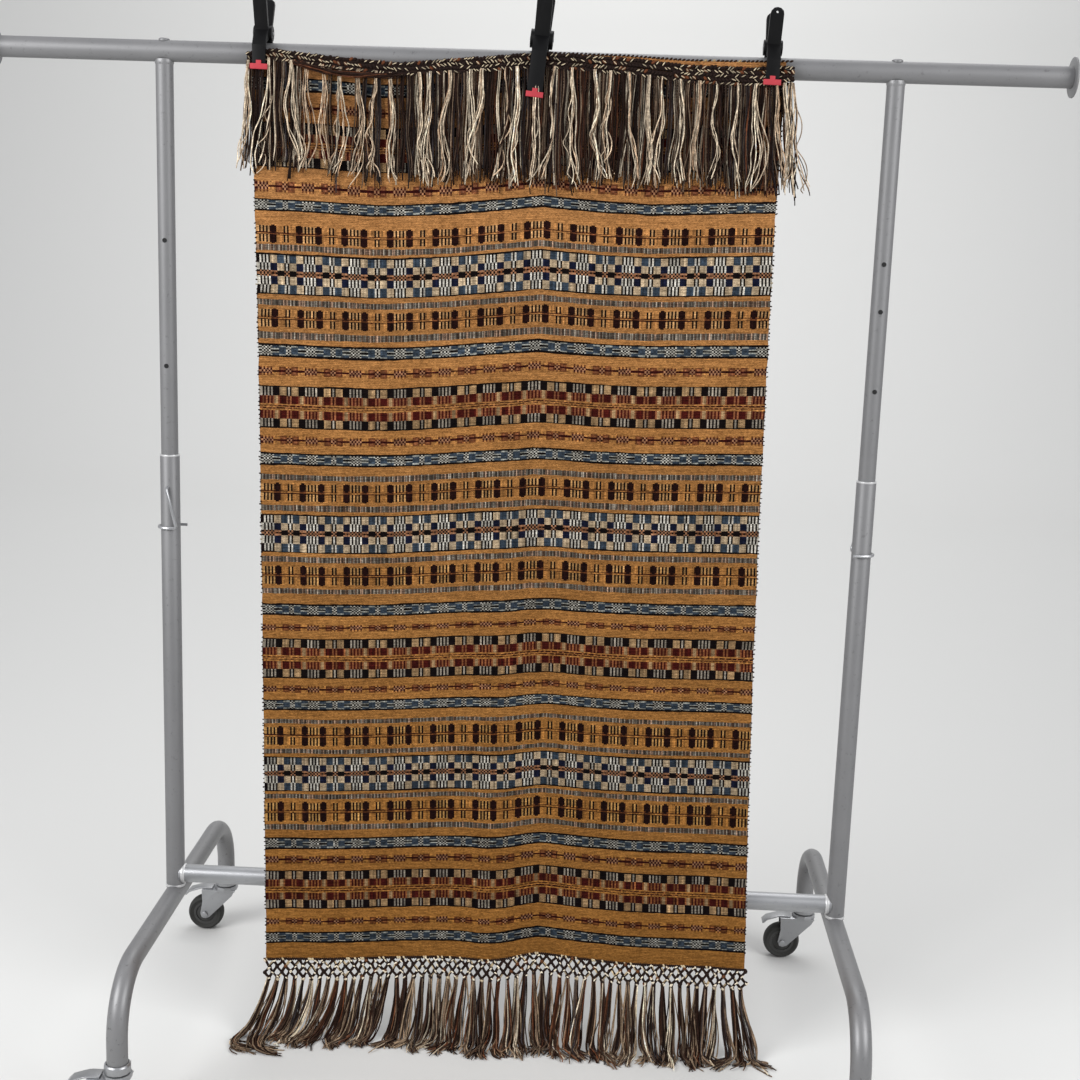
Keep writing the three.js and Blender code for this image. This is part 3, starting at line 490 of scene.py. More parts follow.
# A near-black for the discs of painted shade that stand for the shaded inside of the adjusting holes
HOLE_PAINTED_SHADE = plastic("painted_hole_shade", (16, 16, 17), roughness=0.9)
CLOTH = woven("woven_wool")
YARN = yarn_material("fringe_yarn")


# The cloth's shape, as the frame has it


def rise_at(x, level):
    """How far the weft row that is at this height at x -190 rises at another place across."""
    t = np.clip((level - RUG["hem"]) / (RUG["rise_top"] - RUG["hem"]), 0, 1.15)
    top, middle, hem = (read_table(RISE, x, column) for column in (1, 2, 3))
    return hem + t * (4 * middle - 3 * hem - top) + t * t * (2 * top + 2 * hem - 4 * middle)


def depth_at(x, height):
    """Where the middle of the cloth is from front to back, with its lean and its soft folds."""
    t = np.clip((FOLD_TOP - height) / (FOLD_TOP - RUG["hem"]), 0, 1)
    depth = RUG["plane"] - RUG["lean"] * t
    for place, width, top, hem in FOLDS:
        shape = np.exp(-(((x - place) / width) ** 2))
        depth = depth - shape * (top * np.sin(math.pi * t) + hem * t)
    return depth


def selvedges(height):
    """The places across of the left and the right selvedge."""
    t = np.clip((height - RUG["hem"]) / SELVEDGES["height"], 0, 1.15)
    left = SELVEDGES["left"] - SELVEDGES["lean"] * t - SELVEDGES["top_flare"] * t**6
    right = SELVEDGES["right"] + SELVEDGES["hem_flare"] * np.maximum(0, 1 - t) ** 2.3
    return left, right + SELVEDGES["top_flare"] * np.maximum(0, t - 0.95) ** 0.5


def warp_chart():
    """The group and place in it of each warp end, from one selvedge to the other."""
    wide_a, seven, wide_b, three = (
        [(group, i) for i in range(count)] for group, count in zip(WARP_GROUPS, (4, 7, 4, 3))
    )
    block = wide_a + wide_b + three + wide_b[::-1] + wide_a[::-1]
    return [seven[-1]] + seven + WARP_REPEATS * (block + seven)


def weft_rows():
    """The cloth's rows from the hem to the top band: lower height, upper height, pattern row."""
    rows = []
    below = RUG["hem"]
    for kind, top, height in reversed(BANDS):
        bottom = top - height
        steps = max(1, round((bottom - below) / GROUND_STEP))
        edges = np.linspace(below, bottom, steps + 1)
        rows += [(edges[i], edges[i + 1], None) for i in range(steps)]
        pattern = PATTERN_ROWS[kind]
        total = sum(share for share, _ in pattern)
        level = bottom
        for share, colours in reversed(pattern):
            upper = level + height * share / total
            rows.append((level, upper, (kind, dict(zip(WARP_GROUPS, colours.split())))))
            level = upper
        below = top
    return rows


def smooth_noise(places, size, seed):
    """A repeatable soft noise of about -1 to 1 along one axis."""
    table = np.random.default_rng(seed).uniform(-1, 1, 4096)
    at = np.asarray(places, float) / size
    whole = np.floor(at).astype(int)
    part = at - whole
    part = part * part * (3 - 2 * part)
    return lerp(table[whole % 4096], table[(whole + 1) % 4096], part)


def build_rug():
    ends = warp_chart()
    rows = weft_rows()
    columns = len(ends)
    across = np.linspace(0, 1, columns + 1)
    levels = [rows[0][0]] + [row[1] for row in rows]
    rings = []
    for level in levels:
        x = lerp(*selvedges(level), across)
        # A row wavers finely and slowly, and the selvedges step in and out from row to row
        wander = 0.45 * smooth_noise(x + 3 * level, size=9, seed=1)
        wander = wander + 0.5 * smooth_noise(x + 700, size=60, seed=int(level))
        height = level + rise_at(x, level) + wander * (RUG["hem"] < level)
        edge = 0.8 * smooth_noise([level], size=14, seed=2)[0]
        x = x + edge * np.where(across < 0.5, 1 - 2 * across, 2 * across - 1) ** 6
        rings.append(np.stack([x, depth_at(x, height), height], 1))
    # Above the top band: plain cloth up to the crest, over it and down in front
    x = lerp(*selvedges(RUG["top"]), across)
    x = lerp(rings[-1][:, 0], x, 0.7)
    crest = read_table(UPPER_EDGE, x, 1)
    turned = read_table(UPPER_EDGE, x, 2)
    start = rings[-1][:, 2].copy()
    for step in (0.35, 0.7, 1):
        height = lerp(start, crest - TURN_RADIUS, step)
        rings.append(np.stack([x, depth_at(x, height), height], 1))
    for angle in (45, 90, 135, 180):
        bend = math.radians(angle)
        depth = RUG["plane"] - TURN_RADIUS * (1 - math.cos(bend))
        height = crest - TURN_RADIUS + TURN_RADIUS * math.sin(bend)
        rings.append(np.stack([x, np.full_like(x, depth), height], 1))
    for step in (0.5, 1):
        height = crest - TURN_RADIUS - turned * step
        rings.append(np.stack([x, np.full_like(x, HEADING_PLANE), height], 1))
    grid = np.array(rings)
    # The hanging part is the front face of the sheet, half its thickness before the middle
    grid[: len(levels) + 3, :, 1] -= RUG["thickness"] / 2
    count = columns + 1
    first = np.arange(len(rings) - 1)[:, None] * count + np.arange(columns)[None, :]
    faces = np.stack([first, first + 1, first + 1 + count, first + count], -1).reshape(-1, 4)
    piece = new_object("woven_rug", grid.reshape(-1, 3), faces.tolist(), CLOTH)
    paint_rug(piece.data, ends, rows, grid)
    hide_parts("rug")
    return piece


def paint_rug(mesh, ends, rows, grid):
    """Writes each cell's yarn colour and the cloth's own coordinates to the corners of its face."""
    row_count = len(grid) - 1
    columns = len(ends)
    colours = np.zeros((row_count, columns, 4, 3))
    ground = np.array(YARN_COLOURS["o"], float)
    for r in range(row_count):
        pattern = rows[r][2] if r < len(rows) else None
        level = rows[r][0] if r < len(rows) else TONE_BY_HEIGHT["turned_edge"]
        share = (TONE_BY_HEIGHT["top"] - level) / TONE_BY_HEIGHT["height"]
        uneven = TONE_BY_HEIGHT["by_row"] * smooth_noise([level], size=16, seed=3)[0]
        tone = TONE_BY_HEIGHT["start"] + uneven - TONE_BY_HEIGHT["hem"] * share
        browner = np.array([1, 1 - 0.03 * share, 1.08 - 0.26 * share])
        if pattern is None:
            colours[r] = ground * browner * tone
            continue
        kind, row = pattern
        cells = np.array([YARN_COLOURS[row[group][i]] for group, i in ends], float)
        warm_ends = np.array([row[group][i] in WARM_YARNS for group, i in ends])
        cells = cells * np.where(warm_ends[:, None], browner, COOL_YARN_TONE)
        cells = cells * (1 + 0.1 * random.standard_normal((columns, 1)))
        colours[r] = cells[:, None, :] * tone
        if kind == "ticks":
            pale = random.uniform(*TICKS["pale"], (columns, 1))
            dark = random.uniform(*TICKS["dark"], (columns, 1))
            warm = np.where(random.random((columns, 1)) < TICKS["warm_share"], TICKS["warm"], 1)
            colours[r][:, [0, 3]] *= (pale * warm)[:, None, :]
            colours[r][:, [1, 2]] *= dark[:, None, :]
    write_colours(mesh, colours, "CORNER")
    uv = mesh.uv_layers.new(name="weave")
    index = np.zeros(len(mesh.loops), np.int32)
    mesh.loops.foreach_get("vertex_index", index)
    points = grid.reshape(-1, 3)[index] * MM
    uv.data.foreach_set("uv", points[:, [0, 2]].ravel())


# Yarns


def build_selvedge_tufts():
    """The small dark loops of weft that turn back at both selvedges beside the patterned bands."""
    tufts = []
    for kind, top, height in BANDS:
        count = max(2, round(height / TUFT_PITCH) + 1)
        for level in np.linspace(top, top - height, count):
            for side, x in zip((-1, 1), selvedges(level)):
                place = level + random.uniform(-1, 1)
                z = place + float(rise_at(x, place))
                middle = (x + side * random.uniform(-0.6, 1.0), float(depth_at(x, z)) - 1.2, z)
                colour = draw_colour("tuft") if kind == "check" else KNOT_COLOURS["tuft"][-1]
                size = (random.uniform(1.2, 2.3), 1.3, random.uniform(0.8, 1.5))
                tufts.append((middle, colour, size, random.uniform(-35, 35)))
    return knots("selvedge_tufts", tufts)


def bundle(name, paths, radii, colours, sides=3, guide=(1, 0.02, 0.01)):
    """One mesh of many yarns: paths is yarns by points by 3, radii by yarn and point. No yarn may
    run along the guide, which their sections are set out from."""
    paths = np.asarray(paths, float)
    yarns, points, _ = paths.shape
    tangent = np.gradient(paths, axis=1)
    tangent /= np.linalg.norm(tangent, axis=2, keepdims=True) + 1e-9
    guide = np.array(guide, float)
    side = guide - tangent * (tangent @ guide)[..., None]
    side /= np.linalg.norm(side, axis=2, keepdims=True) + 1e-9
    other = np.cross(tangent, side)
    angles = np.arange(sides) * 2 * math.pi / sides
    twist = random.random(yarns) * 2 * math.pi
    turn = angles[None, None, :] + twist[:, None, None] + YARN_TWIST * np.arange(points)[None, :, None]
    ring = (np.cos(turn)[..., None] * side[:, :, None] + np.sin(turn)[..., None] * other[:, :, None])
    vertices = paths[:, :, None] + ring * np.asarray(radii)[:, :, None, None]
    base = (np.arange(yarns) * points * sides)[:, None, None]
    step = (np.arange(points - 1) * sides)[None, :, None]
    s = np.arange(sides)[None, None, :]
    a = base + step + s
    b = base + step + (s + 1) % sides
    faces = np.stack([a, b, b + sides, a + sides], -1).reshape(-1, 4).tolist()
    for start in range(0, yarns * points * sides, points * sides):
        end = start + (points - 1) * sides
        faces += [range(start, start + sides)[::-1], range(end, end + sides)]
    piece = new_object(name, vertices.reshape(-1, 3), faces, YARN)
    colours = np.asarray(colours, float)
    if colours.ndim == 2:
        colours = colours[:, None, :]
    shade = 1 + YARN_SHADE * random.standard_normal((yarns, points, 1))
    write_colours(piece.data, np.repeat((colours * shade).reshape(-1, 3), sides, 0), "POINT")
    return piece


def tassel_colours(tassels, yarns):
    """A colour for each yarn of each tassel, with the yarns of one tassel mostly alike."""
    often = np.array([often for often, _ in TASSEL_KINDS])
    table = np.array(list(FRINGE_COLOURS.values()), float)
    out = np.zeros((tassels, yarns, 3))
    for tassel in range(tassels):
        _, shares = TASSEL_KINDS[random.choice(len(often), p=often / often.sum())]
        shares = np.array(shares)
        out[tassel] = table[random.choice(len(table), yarns, p=shares / shares.sum())]
    return (out * (1 + 0.15 * random.standard_normal((tassels, yarns, 1)))).reshape(-1, 3)


class Draws:
    """Random values for the yarns of some tassels, each as a column with a value for every yarn."""

    def __init__(self, tassels, yarns):
        self.tassels = tassels
        self.yarns = yarns
        self.count = tassels * yarns

    def repeat(self, values):
        """One value a tassel, repeated for each of its yarns."""
        return np.repeat(np.asarray(values, float), self.yarns)[:, None]

    def shared(self, low, high):
        return self.repeat(random.uniform(low, high, self.tassels))

    def shared_normal(self, size):
        return self.repeat(size * random.standard_normal(self.tassels))

    def own(self, low, high):
        return random.uniform(low, high, (self.count, 1))

    def own_normal(self, size=1):
        return size * random.standard_normal((self.count, 1))

    def chance(self, share):
        return random.random((self.count, 1)) < share


def knots(name, rows):
    """Small squashed balls in one mesh. A row has a knot's middle, colour, size and slant."""
    around, along = 6, 4
    unit = []
    for j in range(1, along):
        polar = math.pi * j / along
        for i in range(around):
            turn = 2 * math.pi * i / around
            flat = math.sin(polar)
            unit.append((flat * math.cos(turn), flat * math.sin(turn), math.cos(polar)))
    unit = np.array(unit + [(0, 0, 1), (0, 0, -1)])
    faces = []
    last = (along - 2) * around
    for i in range(around):
        n = (i + 1) % around
        for low in range(0, last, around):
            faces.append((low + i, low + around + i, low + around + n, low + n))
        faces.append((i, n, len(unit) - 2))
        faces.append((last + n, last + i, len(unit) - 1))
    centres, colours, sizes, slants = (np.array(column, float) for column in zip(*rows))
    slants = np.radians(slants)[:, None]
    x, y, z = (unit[None, :, axis] * sizes[:, axis, None] for axis in range(3))
    tilted_x = x * np.cos(slants) - z * np.sin(slants)
    tilted_z = x * np.sin(slants) + z * np.cos(slants)
    vertices = np.stack([tilted_x, y, tilted_z], -1) + centres[:, None]
    offsets = [k * len(unit) for k in range(len(rows))]
    all_faces = [[offset + v for v in face] for offset in offsets for face in faces]
    piece = new_object(name, vertices.reshape(-1, 3), all_faces, YARN)
    write_colours(piece.data, np.repeat(colours, len(unit), 0), "POINT")
    return piece


def draw_colour(kind):
    """Picks the first colour of a kind of knot as often as its table says, and else the other."""
    colour, share, other = KNOT_COLOURS[kind]
    return colour if random.random() < share else other


def like_knots(name, centres, kind):
    """Knots of one kind that all slant to the same side."""
    colours = [draw_colour(kind) for _ in centres]
    slants = random.uniform(20, 50, len(centres))
    sizes = [KNOT_SIZES[kind]] * len(centres)
    return knots(name, list(zip(centres, colours, sizes, slants)))


def shown_turn(x):
    """How much of the turned-over cloth shows above the knots."""
    return np.maximum(0, read_table(UPPER_EDGE, x, 2) - 2)


def top_heading_at(x):
    """The upper and the lower end of the knotted heading at a place across."""
    share = (x - TOP_HEADING["left"]) / (TOP_HEADING["right"] - TOP_HEADING["left"])
    crest = read_table(UPPER_EDGE, x, 1)
    top = crest + 0.5 - shown_turn(x)
    end = crest - TURN_RADIUS - read_table(UPPER_EDGE, x, 2) - 0.3
    return top, end - lerp(TOP_HEADING["height_left"], TOP_HEADING["height_right"], share)


def build_top_heading():
    """Dark cords across, hidden under slanted knots that lean one way and then the other."""
    left, right = TOP_HEADING["left"], TOP_HEADING["right"]
    count, points = 6, 90
    x = np.linspace(left, right, points)
    top, bottom = top_heading_at(x)
    cords = []
    for share in np.linspace(0.06, 0.94, count):
        height = lerp(top, bottom, share) + 0.5 * smooth_noise(x, size=7, seed=int(share * 100))
        cords.append(np.stack([x, np.full_like(x, HEADING_PLANE - 0.4), height], 1))
    radii = np.full((count, points), 2.0)
    backing = bundle("top_heading_cords", cords, radii, [CORD_COLOUR] * count, 6, UPRIGHT)
    tied = []
    for step in np.arange(left + 1.5, right, TOP_HEADING["pitch"]):
        top_z, bottom_z = top_heading_at(step)
        rows = max(3, round((top_z - bottom_z) / 5.2))
        for row in range(rows):
            x_here = step + (TOP_HEADING["pitch"] / 2 if row % 2 else 0)
            z = lerp(top_z - 1, bottom_z + 1, row / (rows - 1)) + random.uniform(-0.9, 0.9)
            pale = random.random() < (0.5, 0.66, 0.5)[min(row, 2)]
            dark = draw_colour("heading")
            lean = (52 if row % 2 else -52) + random.uniform(-18, 18)
            tied.append(((x_here, HEADING_PLANE - 2.0, z), dark, KNOT_SIZES["heading"], lean))
            if pale:
                middle = (x_here + random.uniform(-1, 1), HEADING_PLANE - 3.9, z)
                cream = np.array(LACING_COLOUR) * random.uniform(0.7, 1.05)
                tied.append((middle, cream, (0.85, 0.9, random.uniform(2.6, 4.4)), lean))
    # Dark stitches along the crest where the turned edge shows above the knots
    for step in np.arange(30, right, 6.4):
        middle = (step, HEADING_PLANE + 1.6, read_table(UPPER_EDGE, step, 1) + 0.5)
        colour = draw_colour("crest")
        tied.append((middle, colour, KNOT_SIZES["crest"], -62 + random.uniform(-14, 14)))
    return [backing, knots("top_heading", tied)]


def build_hank():
    """A few long ends that lie sideways below the heading near the left clamp."""
    points = 26
    t = np.linspace(0, 1, points)
    paths, colours = [], []
    for _ in range(HANK["yarns"]):
        x = lerp(HANK["left"] + random.uniform(0, 12), HANK["right"] + random.uniform(-25, 6), t)
        _, bottom = top_heading_at(x)
        sag = random.uniform(3, 10) * np.sin(math.pi * t) + random.uniform(-1, 5)
        ripple = 1.2 * np.sin(9 * t + random.uniform(0, 6))
        depth = HEADING_PLANE - random.uniform(7, 11)
        paths.append(np.stack([x, np.full(points, depth), bottom + 2 - sag + ripple], 1))
        colours.append(FRINGE_COLOURS["dark"] if random.random() < 0.75 else FRINGE_COLOURS["rust"])
    radii = random.uniform(0.8, 1.2, (len(paths), 1)) * np.ones((1, points))
    return bundle("sideways_hank", paths, radii, colours, guide=UPRIGHT)


def splay_at_ends(x):
    """How far the tips of the top fringe swing sideways near its two ends."""
    return 26 * np.exp((x - 398) / 30) - 12 * np.exp((-422 - x) / 25)


def build_curtain():
    """The dark yarns of the top fringe, in clumps that share a wandering path."""
    roots = np.arange(TOP_HEADING["left"] + 2, TOP_HEADING["right"] - 1, CURTAIN["pitch"])
    roots = roots[random.random(len(roots)) < read_table(CURTAIN_SHARE, roots, 1)]
    draw = Draws(len(roots), CURTAIN["yarns"])
    x = draw.repeat(roots)
    _, bottom = top_heading_at(x)
    tip = read_table(TOP_TIPS, x, 1) + draw.shared_normal(CURTAIN["uneven"])
    tip = tip + draw.own_normal(CURTAIN["ragged"])
    points = CURTAIN["points"]
    t = np.linspace(0, 1, points)[None, :]
    swing = draw.shared(*CURTAIN["swing"])
    swing_phase = draw.shared(0, FULL_TURN)
    pace = draw.shared(*CURTAIN["pace"])
    offset = draw.own(-1, 1)
    bow = draw.own_normal(CURTAIN["bow"])
    along = x + (splay_at_ends(x) + 3 * np.sin(x / 37)) * t**1.5
    along = along + swing * np.sin(swing_phase + pace * t) * t**0.6
    along = along + offset * lerp(2.6, 4.6, t) + bow * np.sin(math.pi * t**0.8) * t
    height = lerp(bottom + 2, tip, t)
    out = HEADING_PLANE - 1 - 1.8 * np.sin(math.pi * np.minimum(1, 1.25 * t))
    out = np.minimum(out, depth_at(along, height) - 2.0) - draw.own(0, 2.0)
    radius = draw.own(*CURTAIN["radius"]) * np.ones((1, points))
    colours = CURTAIN["tone"] * tassel_colours(len(roots), CURTAIN["yarns"])
    return bundle("top_curtain", np.stack([along, out, height], -1), radius, colours)


def build_pale_tassels():
    """Cream tassels in front of the curtain, whose yarns part, curl and meet again."""
    kind = PALE_TASSELS
    roots = np.arange(TOP_HEADING["left"] + 9, TOP_HEADING["right"], kind["pitch"])
    roots = roots + 4 * random.standard_normal(len(roots))
    roots = np.concatenate([roots, [386, 395]])
    draw = Draws(len(roots), kind["yarns"])
    x = draw.repeat(roots)
    _, bottom = top_heading_at(x)
    tip = read_table(TOP_TIPS, x, 1) - 2 + draw.shared_normal(kind["uneven"])
    tip = tip + draw.own_normal(kind["ragged"])
    points = kind["points"]
    t = np.linspace(0, 1, points)[None, :]
    lean = draw.shared_normal(kind["lean"])
    swing = draw.shared(*kind["swing"])
    swing_phase = draw.shared(0, FULL_TURN)
    swing_pace = draw.shared(*kind["pace"])
    offset = draw.own(-1, 1)
    bow = draw.shared(*kind["bow"]) * draw.own_normal()
    middle = draw.shared(0.9, 2.2)
    curl = draw.own(*kind["curl"])
    loose = draw.chance(kind["loose_share"])
    curl = np.where(loose, draw.own(*kind["loose_curl"]), curl)
    turn = draw.own(0, FULL_TURN) + draw.own(*kind["curl_pace"]) * t
    along = x + (splay_at_ends(x) + lean) * t**1.3
    along = along + swing * np.sin(swing_phase + swing_pace * t) * t**0.6
    along = along + offset * lerp(2.2, 4.0, t) + bow * np.sin(math.pi * t**middle)
    along = along + curl * np.sin(turn) * t**0.8 + 4.5 * offset * t**6
    height = lerp(bottom + 3, tip, t) + 0.7 * curl * np.cos(turn) * t
    out = HEADING_PLANE - 4.2 - 2.6 * np.sin(math.pi * np.minimum(1, 1.25 * t))
    out = out - draw.own(0, 2.4) + 0.4 * curl * np.cos(turn) * t
    out = np.minimum(out, depth_at(along, height) - 5)
    radius = draw.own(*kind["radius"]) * np.ones((1, points))
    radius[:, -1] *= 0.7
    share = np.clip(0.2 + draw.own_normal(0.35), 0, 1)
    share = np.where(draw.repeat(random.random(draw.tassels)) < 0.2, share + 0.3, share)
    colours = lerp(np.array(FRINGE_COLOURS["cream"]), np.array(DIRTY_CREAM), share)
    colours = colours * (1 + draw.own_normal(0.1))
    colours = np.where(draw.chance(kind["dark_share"]), FRINGE_COLOURS["dark"], colours)
    return bundle("top_pale_tassels", np.stack([along, out, height], -1), radius, colours)


def build_top_fringe():
    """The knotted heading at the top end and its yarns, which fall forward over the cloth."""
    curtain = build_curtain()
    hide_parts("fringe_top")
    return [curtain, build_pale_tassels(), build_hank()] + build_top_heading()


def hem_line(x):
    """The height and the depth of the hem at a place across."""
    height = read_table(RISE, x, 3) + RUG["hem"]
    return height, depth_at(x, height)


def net_knot(column, row, step):
    """The middle of a knot of the bottom net, and its place across."""
    x = NET["left"] + (column + (0.5 if row % 2 else 0)) * step
    height, depth = hem_line(x)
    return (x, float(depth) - 0.6, float(height) - 0.5 - NET_ROWS[row])


def build_net():
    """Rows of knots joined by slanting cords, with a short pale dash beside many of them."""
    columns = NET["tassels"]
    step = (NET["right"] - NET["left"]) / columns
    rows, cords, cord_colours = [], [], []
    for row in range(len(NET_ROWS)):
        for column in range(columns + 1 - row % 2):
            x, y, z = net_knot(column, row, step)
            shake = random.uniform(-1.7, 1.7, 2)
            x, z = x + shake[0], z + shake[1]
            rows.append(((x, y, z), draw_colour("net"), KNOT_SIZES["net"], random.uniform(-25, 25)))
            for _ in range(random.choice([0, 1, 1, 2])):
                middle = (x + random.uniform(-2.4, 2.4), y - 2.9, z + random.uniform(-1.8, 2.2))
                size = (1.35, 1.1, random.uniform(2.2, 3.6))
                slant = random.choice([-45, 45]) + random.uniform(-18, 18)
                rows.append((middle, DASH_COLOUR, size, slant))
            if row == len(NET_ROWS) - 1:
                continue
            beside = (column - 1, column) if row % 2 == 0 else (column, column + 1)
            for other in beside:
                if other < 0 or other > columns - (row + 1) % 2:
                    continue
                foot = net_knot(other, row + 1, step)
                half = [lerp(a, b, 0.5) for a, b in zip((x, y, z), foot)]
                for strand in (-1.1, 1.1):
                    bow = random.uniform(-0.6, 0.6)
                    cords.append([
                        (x + strand, y, z),
                        (half[0] + 1.1 * strand + bow, half[1] - 0.3, half[2]),
                        (foot[0] + strand, foot[1], foot[2]),
                    ])
                    cord_colours.append(draw_colour("cord"))
    net = bundle("bottom_net", cords, np.full((len(cords), 3), 1.4), cord_colours, 5)
    tied = knots("bottom_knots", rows)
    hem_x = np.arange(NET["left"], NET["right"], 3.4)
    height, depth = hem_line(hem_x)
    stitches = np.stack([hem_x, depth - 1.2, height - 1], 1)
    hem = like_knots("hem_knots", stitches, "hem")
    return [net, tied, hem]


def build_bottom_fringe():
    """The net along the hem and the tassels below it, whose ends lie on the floor."""
    kind = FLOOR_TASSELS
    step = (NET["right"] - NET["left"]) / NET["tassels"]
    roots = NET["left"] + (np.arange(NET["tassels"]) + 0.5) * step
    draw = Draws(NET["tassels"], kind["yarns"])
    x = draw.repeat(roots)
    height, depth = hem_line(x)
    start = height - 0.5 - NET["height"] + 3
    # The left part of the fringe is swept to the left
    blend = np.clip((x + 470) / 590, 0, 1)
    blend = blend * blend * (3 - 2 * blend)
    sweep_x = 30 * np.exp((x - 410) / 60) - 54 * (1 - blend) + 4 * np.sin(x / 29) + 2 * np.sin(x / 9)
    sweep_x = sweep_x + draw.shared_normal(8)
    forward = kind["forward"] + draw.shared_normal(5)
    forward = np.maximum(1, forward + draw.own_normal(8))
    points = kind["points"]
    t = np.linspace(0, 1, points)[None, :]
    # A yarn falls down to its knee and then runs forward over the floor
    fall = np.clip(t / kind["knee"], 0, 1)
    run = np.clip((t - kind["knee"]) / (1 - kind["knee"]), 0, 1)
    turn = draw.own(0, 2 * math.pi)
    inside = np.sqrt(draw.own(0, 1))
    spread = inside * (lerp(2.6, 7.0, np.minimum(1, 1.9 * t)) + 2.5 * run)
    twist = turn + draw.shared(-3, 3) * t
    bend = draw.shared(-kind["bend"], kind["bend"]) * np.sin(math.pi * fall) * (0.3 + 0.7 * t)
    bow = draw.own(*kind["bow"]) * np.sin(math.pi * t)
    loose = draw.chance(kind["loose_share"])
    bow = np.where(loose, 4.5 * bow, bow) * np.sign(draw.own_normal())
    phase = draw.own(0, FULL_TURN)
    wave = draw.shared(*kind["wave"])
    wave = wave * np.sin(draw.shared(0, FULL_TURN) + 7.5 * t) * t**0.7
    aside = draw.shared_normal(kind["aside"]) * run
    aside = aside + draw.own_normal(5) * run**1.3
    along = x + sweep_x * np.clip(1.12 * t, 0, 1) ** 1.15 + bend + bow + aside
    along = along + wave + spread * np.cos(twist) + 2.2 * t * np.sin(phase + 9 * t)
    radius = draw.own(*kind["radius"]) * np.ones((1, points))
    radius[:, -1] *= 0.7
    pile = 1.2 + draw.own(0, kind["pile"]) * (1 - 0.8 * run)
    z = lerp(start, pile, np.sin(fall * math.pi / 2) ** 0.95)
    landing = kind["landing"] * np.maximum(0, (fall - 0.35) / 0.65) ** 2
    y = depth - 0.5 - landing - run * forward
    y = y + spread * np.sin(twist) * 0.75 + t * np.cos(phase + 7 * t)
    # The leftmost tassels end in a hook that turns back to the right
    hooked = draw.repeat(np.arange(NET["tassels"]) < kind["hooked"]) * draw.own(0.5, 1.2)
    along = along + hooked * kind["hook_back"] * run**2
    y = y - hooked * kind["hook_out"] * np.sin(1.9 * run)
    z = np.maximum(z, radius + 0.1)
    colours = tassel_colours(NET["tassels"], kind["yarns"])[:, None, :] * np.ones((1, points, 1))
    # Some yarns turn paler towards their tips
    paler = np.clip(draw.own(-0.4, 0.8), 0, 1) * t**1.3
    colours = lerp(colours, np.array(PALER_TIP_COLOUR), paler[..., None])
    colours = np.where(loose[..., None], LOOSE_YARNS, colours)
    lying = bundle("bottom_fringe", np.stack([along, y, z], -1), radius, colours)
    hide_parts("fringe_bottom")
    height, depth = hem_line(roots)
    necks = np.stack([roots, depth - 1, height - NET["height"] - 2], 1)
    ties = like_knots("tassel_ties", necks, "tie")
    return [lying, ties] + build_net()


# The rack


def sweep(name, points, radius, material, sides=48):
    """A round bar along a line of points, in millimetres, with one radius or one for each point."""
    points = [Vector(p) for p in points]
    radii = radius if isinstance(radius, (list, tuple)) else [radius] * len(points)
    vertices = []
    normal = None
    for i, point in enumerate(points):
        tangent = (points[min(len(points) - 1, i + 1)] - points[max(0, i - 1)]).normalized()
        if normal is None:
            normal = Vector((0, 0, 1)) if abs(tangent.z) < 0.9 else Vector((0, 1, 0))
        normal = (normal - tangent * normal.dot(tangent)).normalized()
        other = tangent.cross(normal)
        for s in range(sides):
            angle = 2 * math.pi * s / sides
            vertices.append(point + radii[i] * (math.cos(angle) * normal + math.sin(angle) * other))
    last = (len(points) - 1) * sides
    faces = [range(sides)[::-1], range(last, last + sides)]
    for low in range(0, last, sides):
        for s in range(sides):
            n = (s + 1) % sides
            faces.append((low + s, low + n, low + sides + n, low + sides + s))
    piece = new_object(name, [tuple(v) for v in vertices], faces, material)
    piece.data.set_sharp_from_angle(angle=math.radians(50))
    return piece


def copy_softened(node, material, width, segments=2):
    """A copy of a frame solid with its edges rounded, which then stands for it."""
    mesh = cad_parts[node].data.copy()
    build = bmesh.new()
    build.from_mesh(mesh)
    bmesh.ops.remove_doubles(build, verts=build.verts, dist=1e-5)
    bmesh.ops.dissolve_limit(build, angle_limit=math.radians(3), verts=build.verts, edges=build.edges)
    build.to_mesh(mesh)
    build.free()
    mesh.materials.clear()
    mesh.materials.append(material)
    piece = link(node + "_detail", mesh)
    if width:
        bevel = piece.modifiers.new("soft_edges", "BEVEL")
        bevel.width = width * MM
        bevel.segments = segments
        bevel.limit_method = "ANGLE"
        bevel.angle_limit = math.radians(32)
        graph = bpy.context.evaluated_depsgraph_get()
        baked = bpy.data.meshes.new_from_object(piece.evaluated_get(graph))
        piece.modifiers.clear()
        piece.data = baked
    piece.data.polygons.foreach_set("use_smooth", [True] * len(piece.data.polygons))
    piece.data.set_sharp_from_angle(angle=math.radians(38))
    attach(piece, "root")
    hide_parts(node)


def base_line(x):
    """The line of a base tube: up from the front caster, back under the post and down again."""
    halves = []
    for leg, sign in ((BASE["front"], -1), (BASE["back"], 1)):
        points = [(x, leg, BASE["leg_end"])]
        for step in range(13):
            angle = math.radians(90 * step / 12)
            inset = BASE["bend"] * (1 - math.cos(angle))
            drop = BASE["bend"] * (1 - math.sin(angle))
            points.append((x, leg - sign * inset, BASE["height"] - drop))
        halves.append(points)
    return halves[0] + halves[1][::-1]


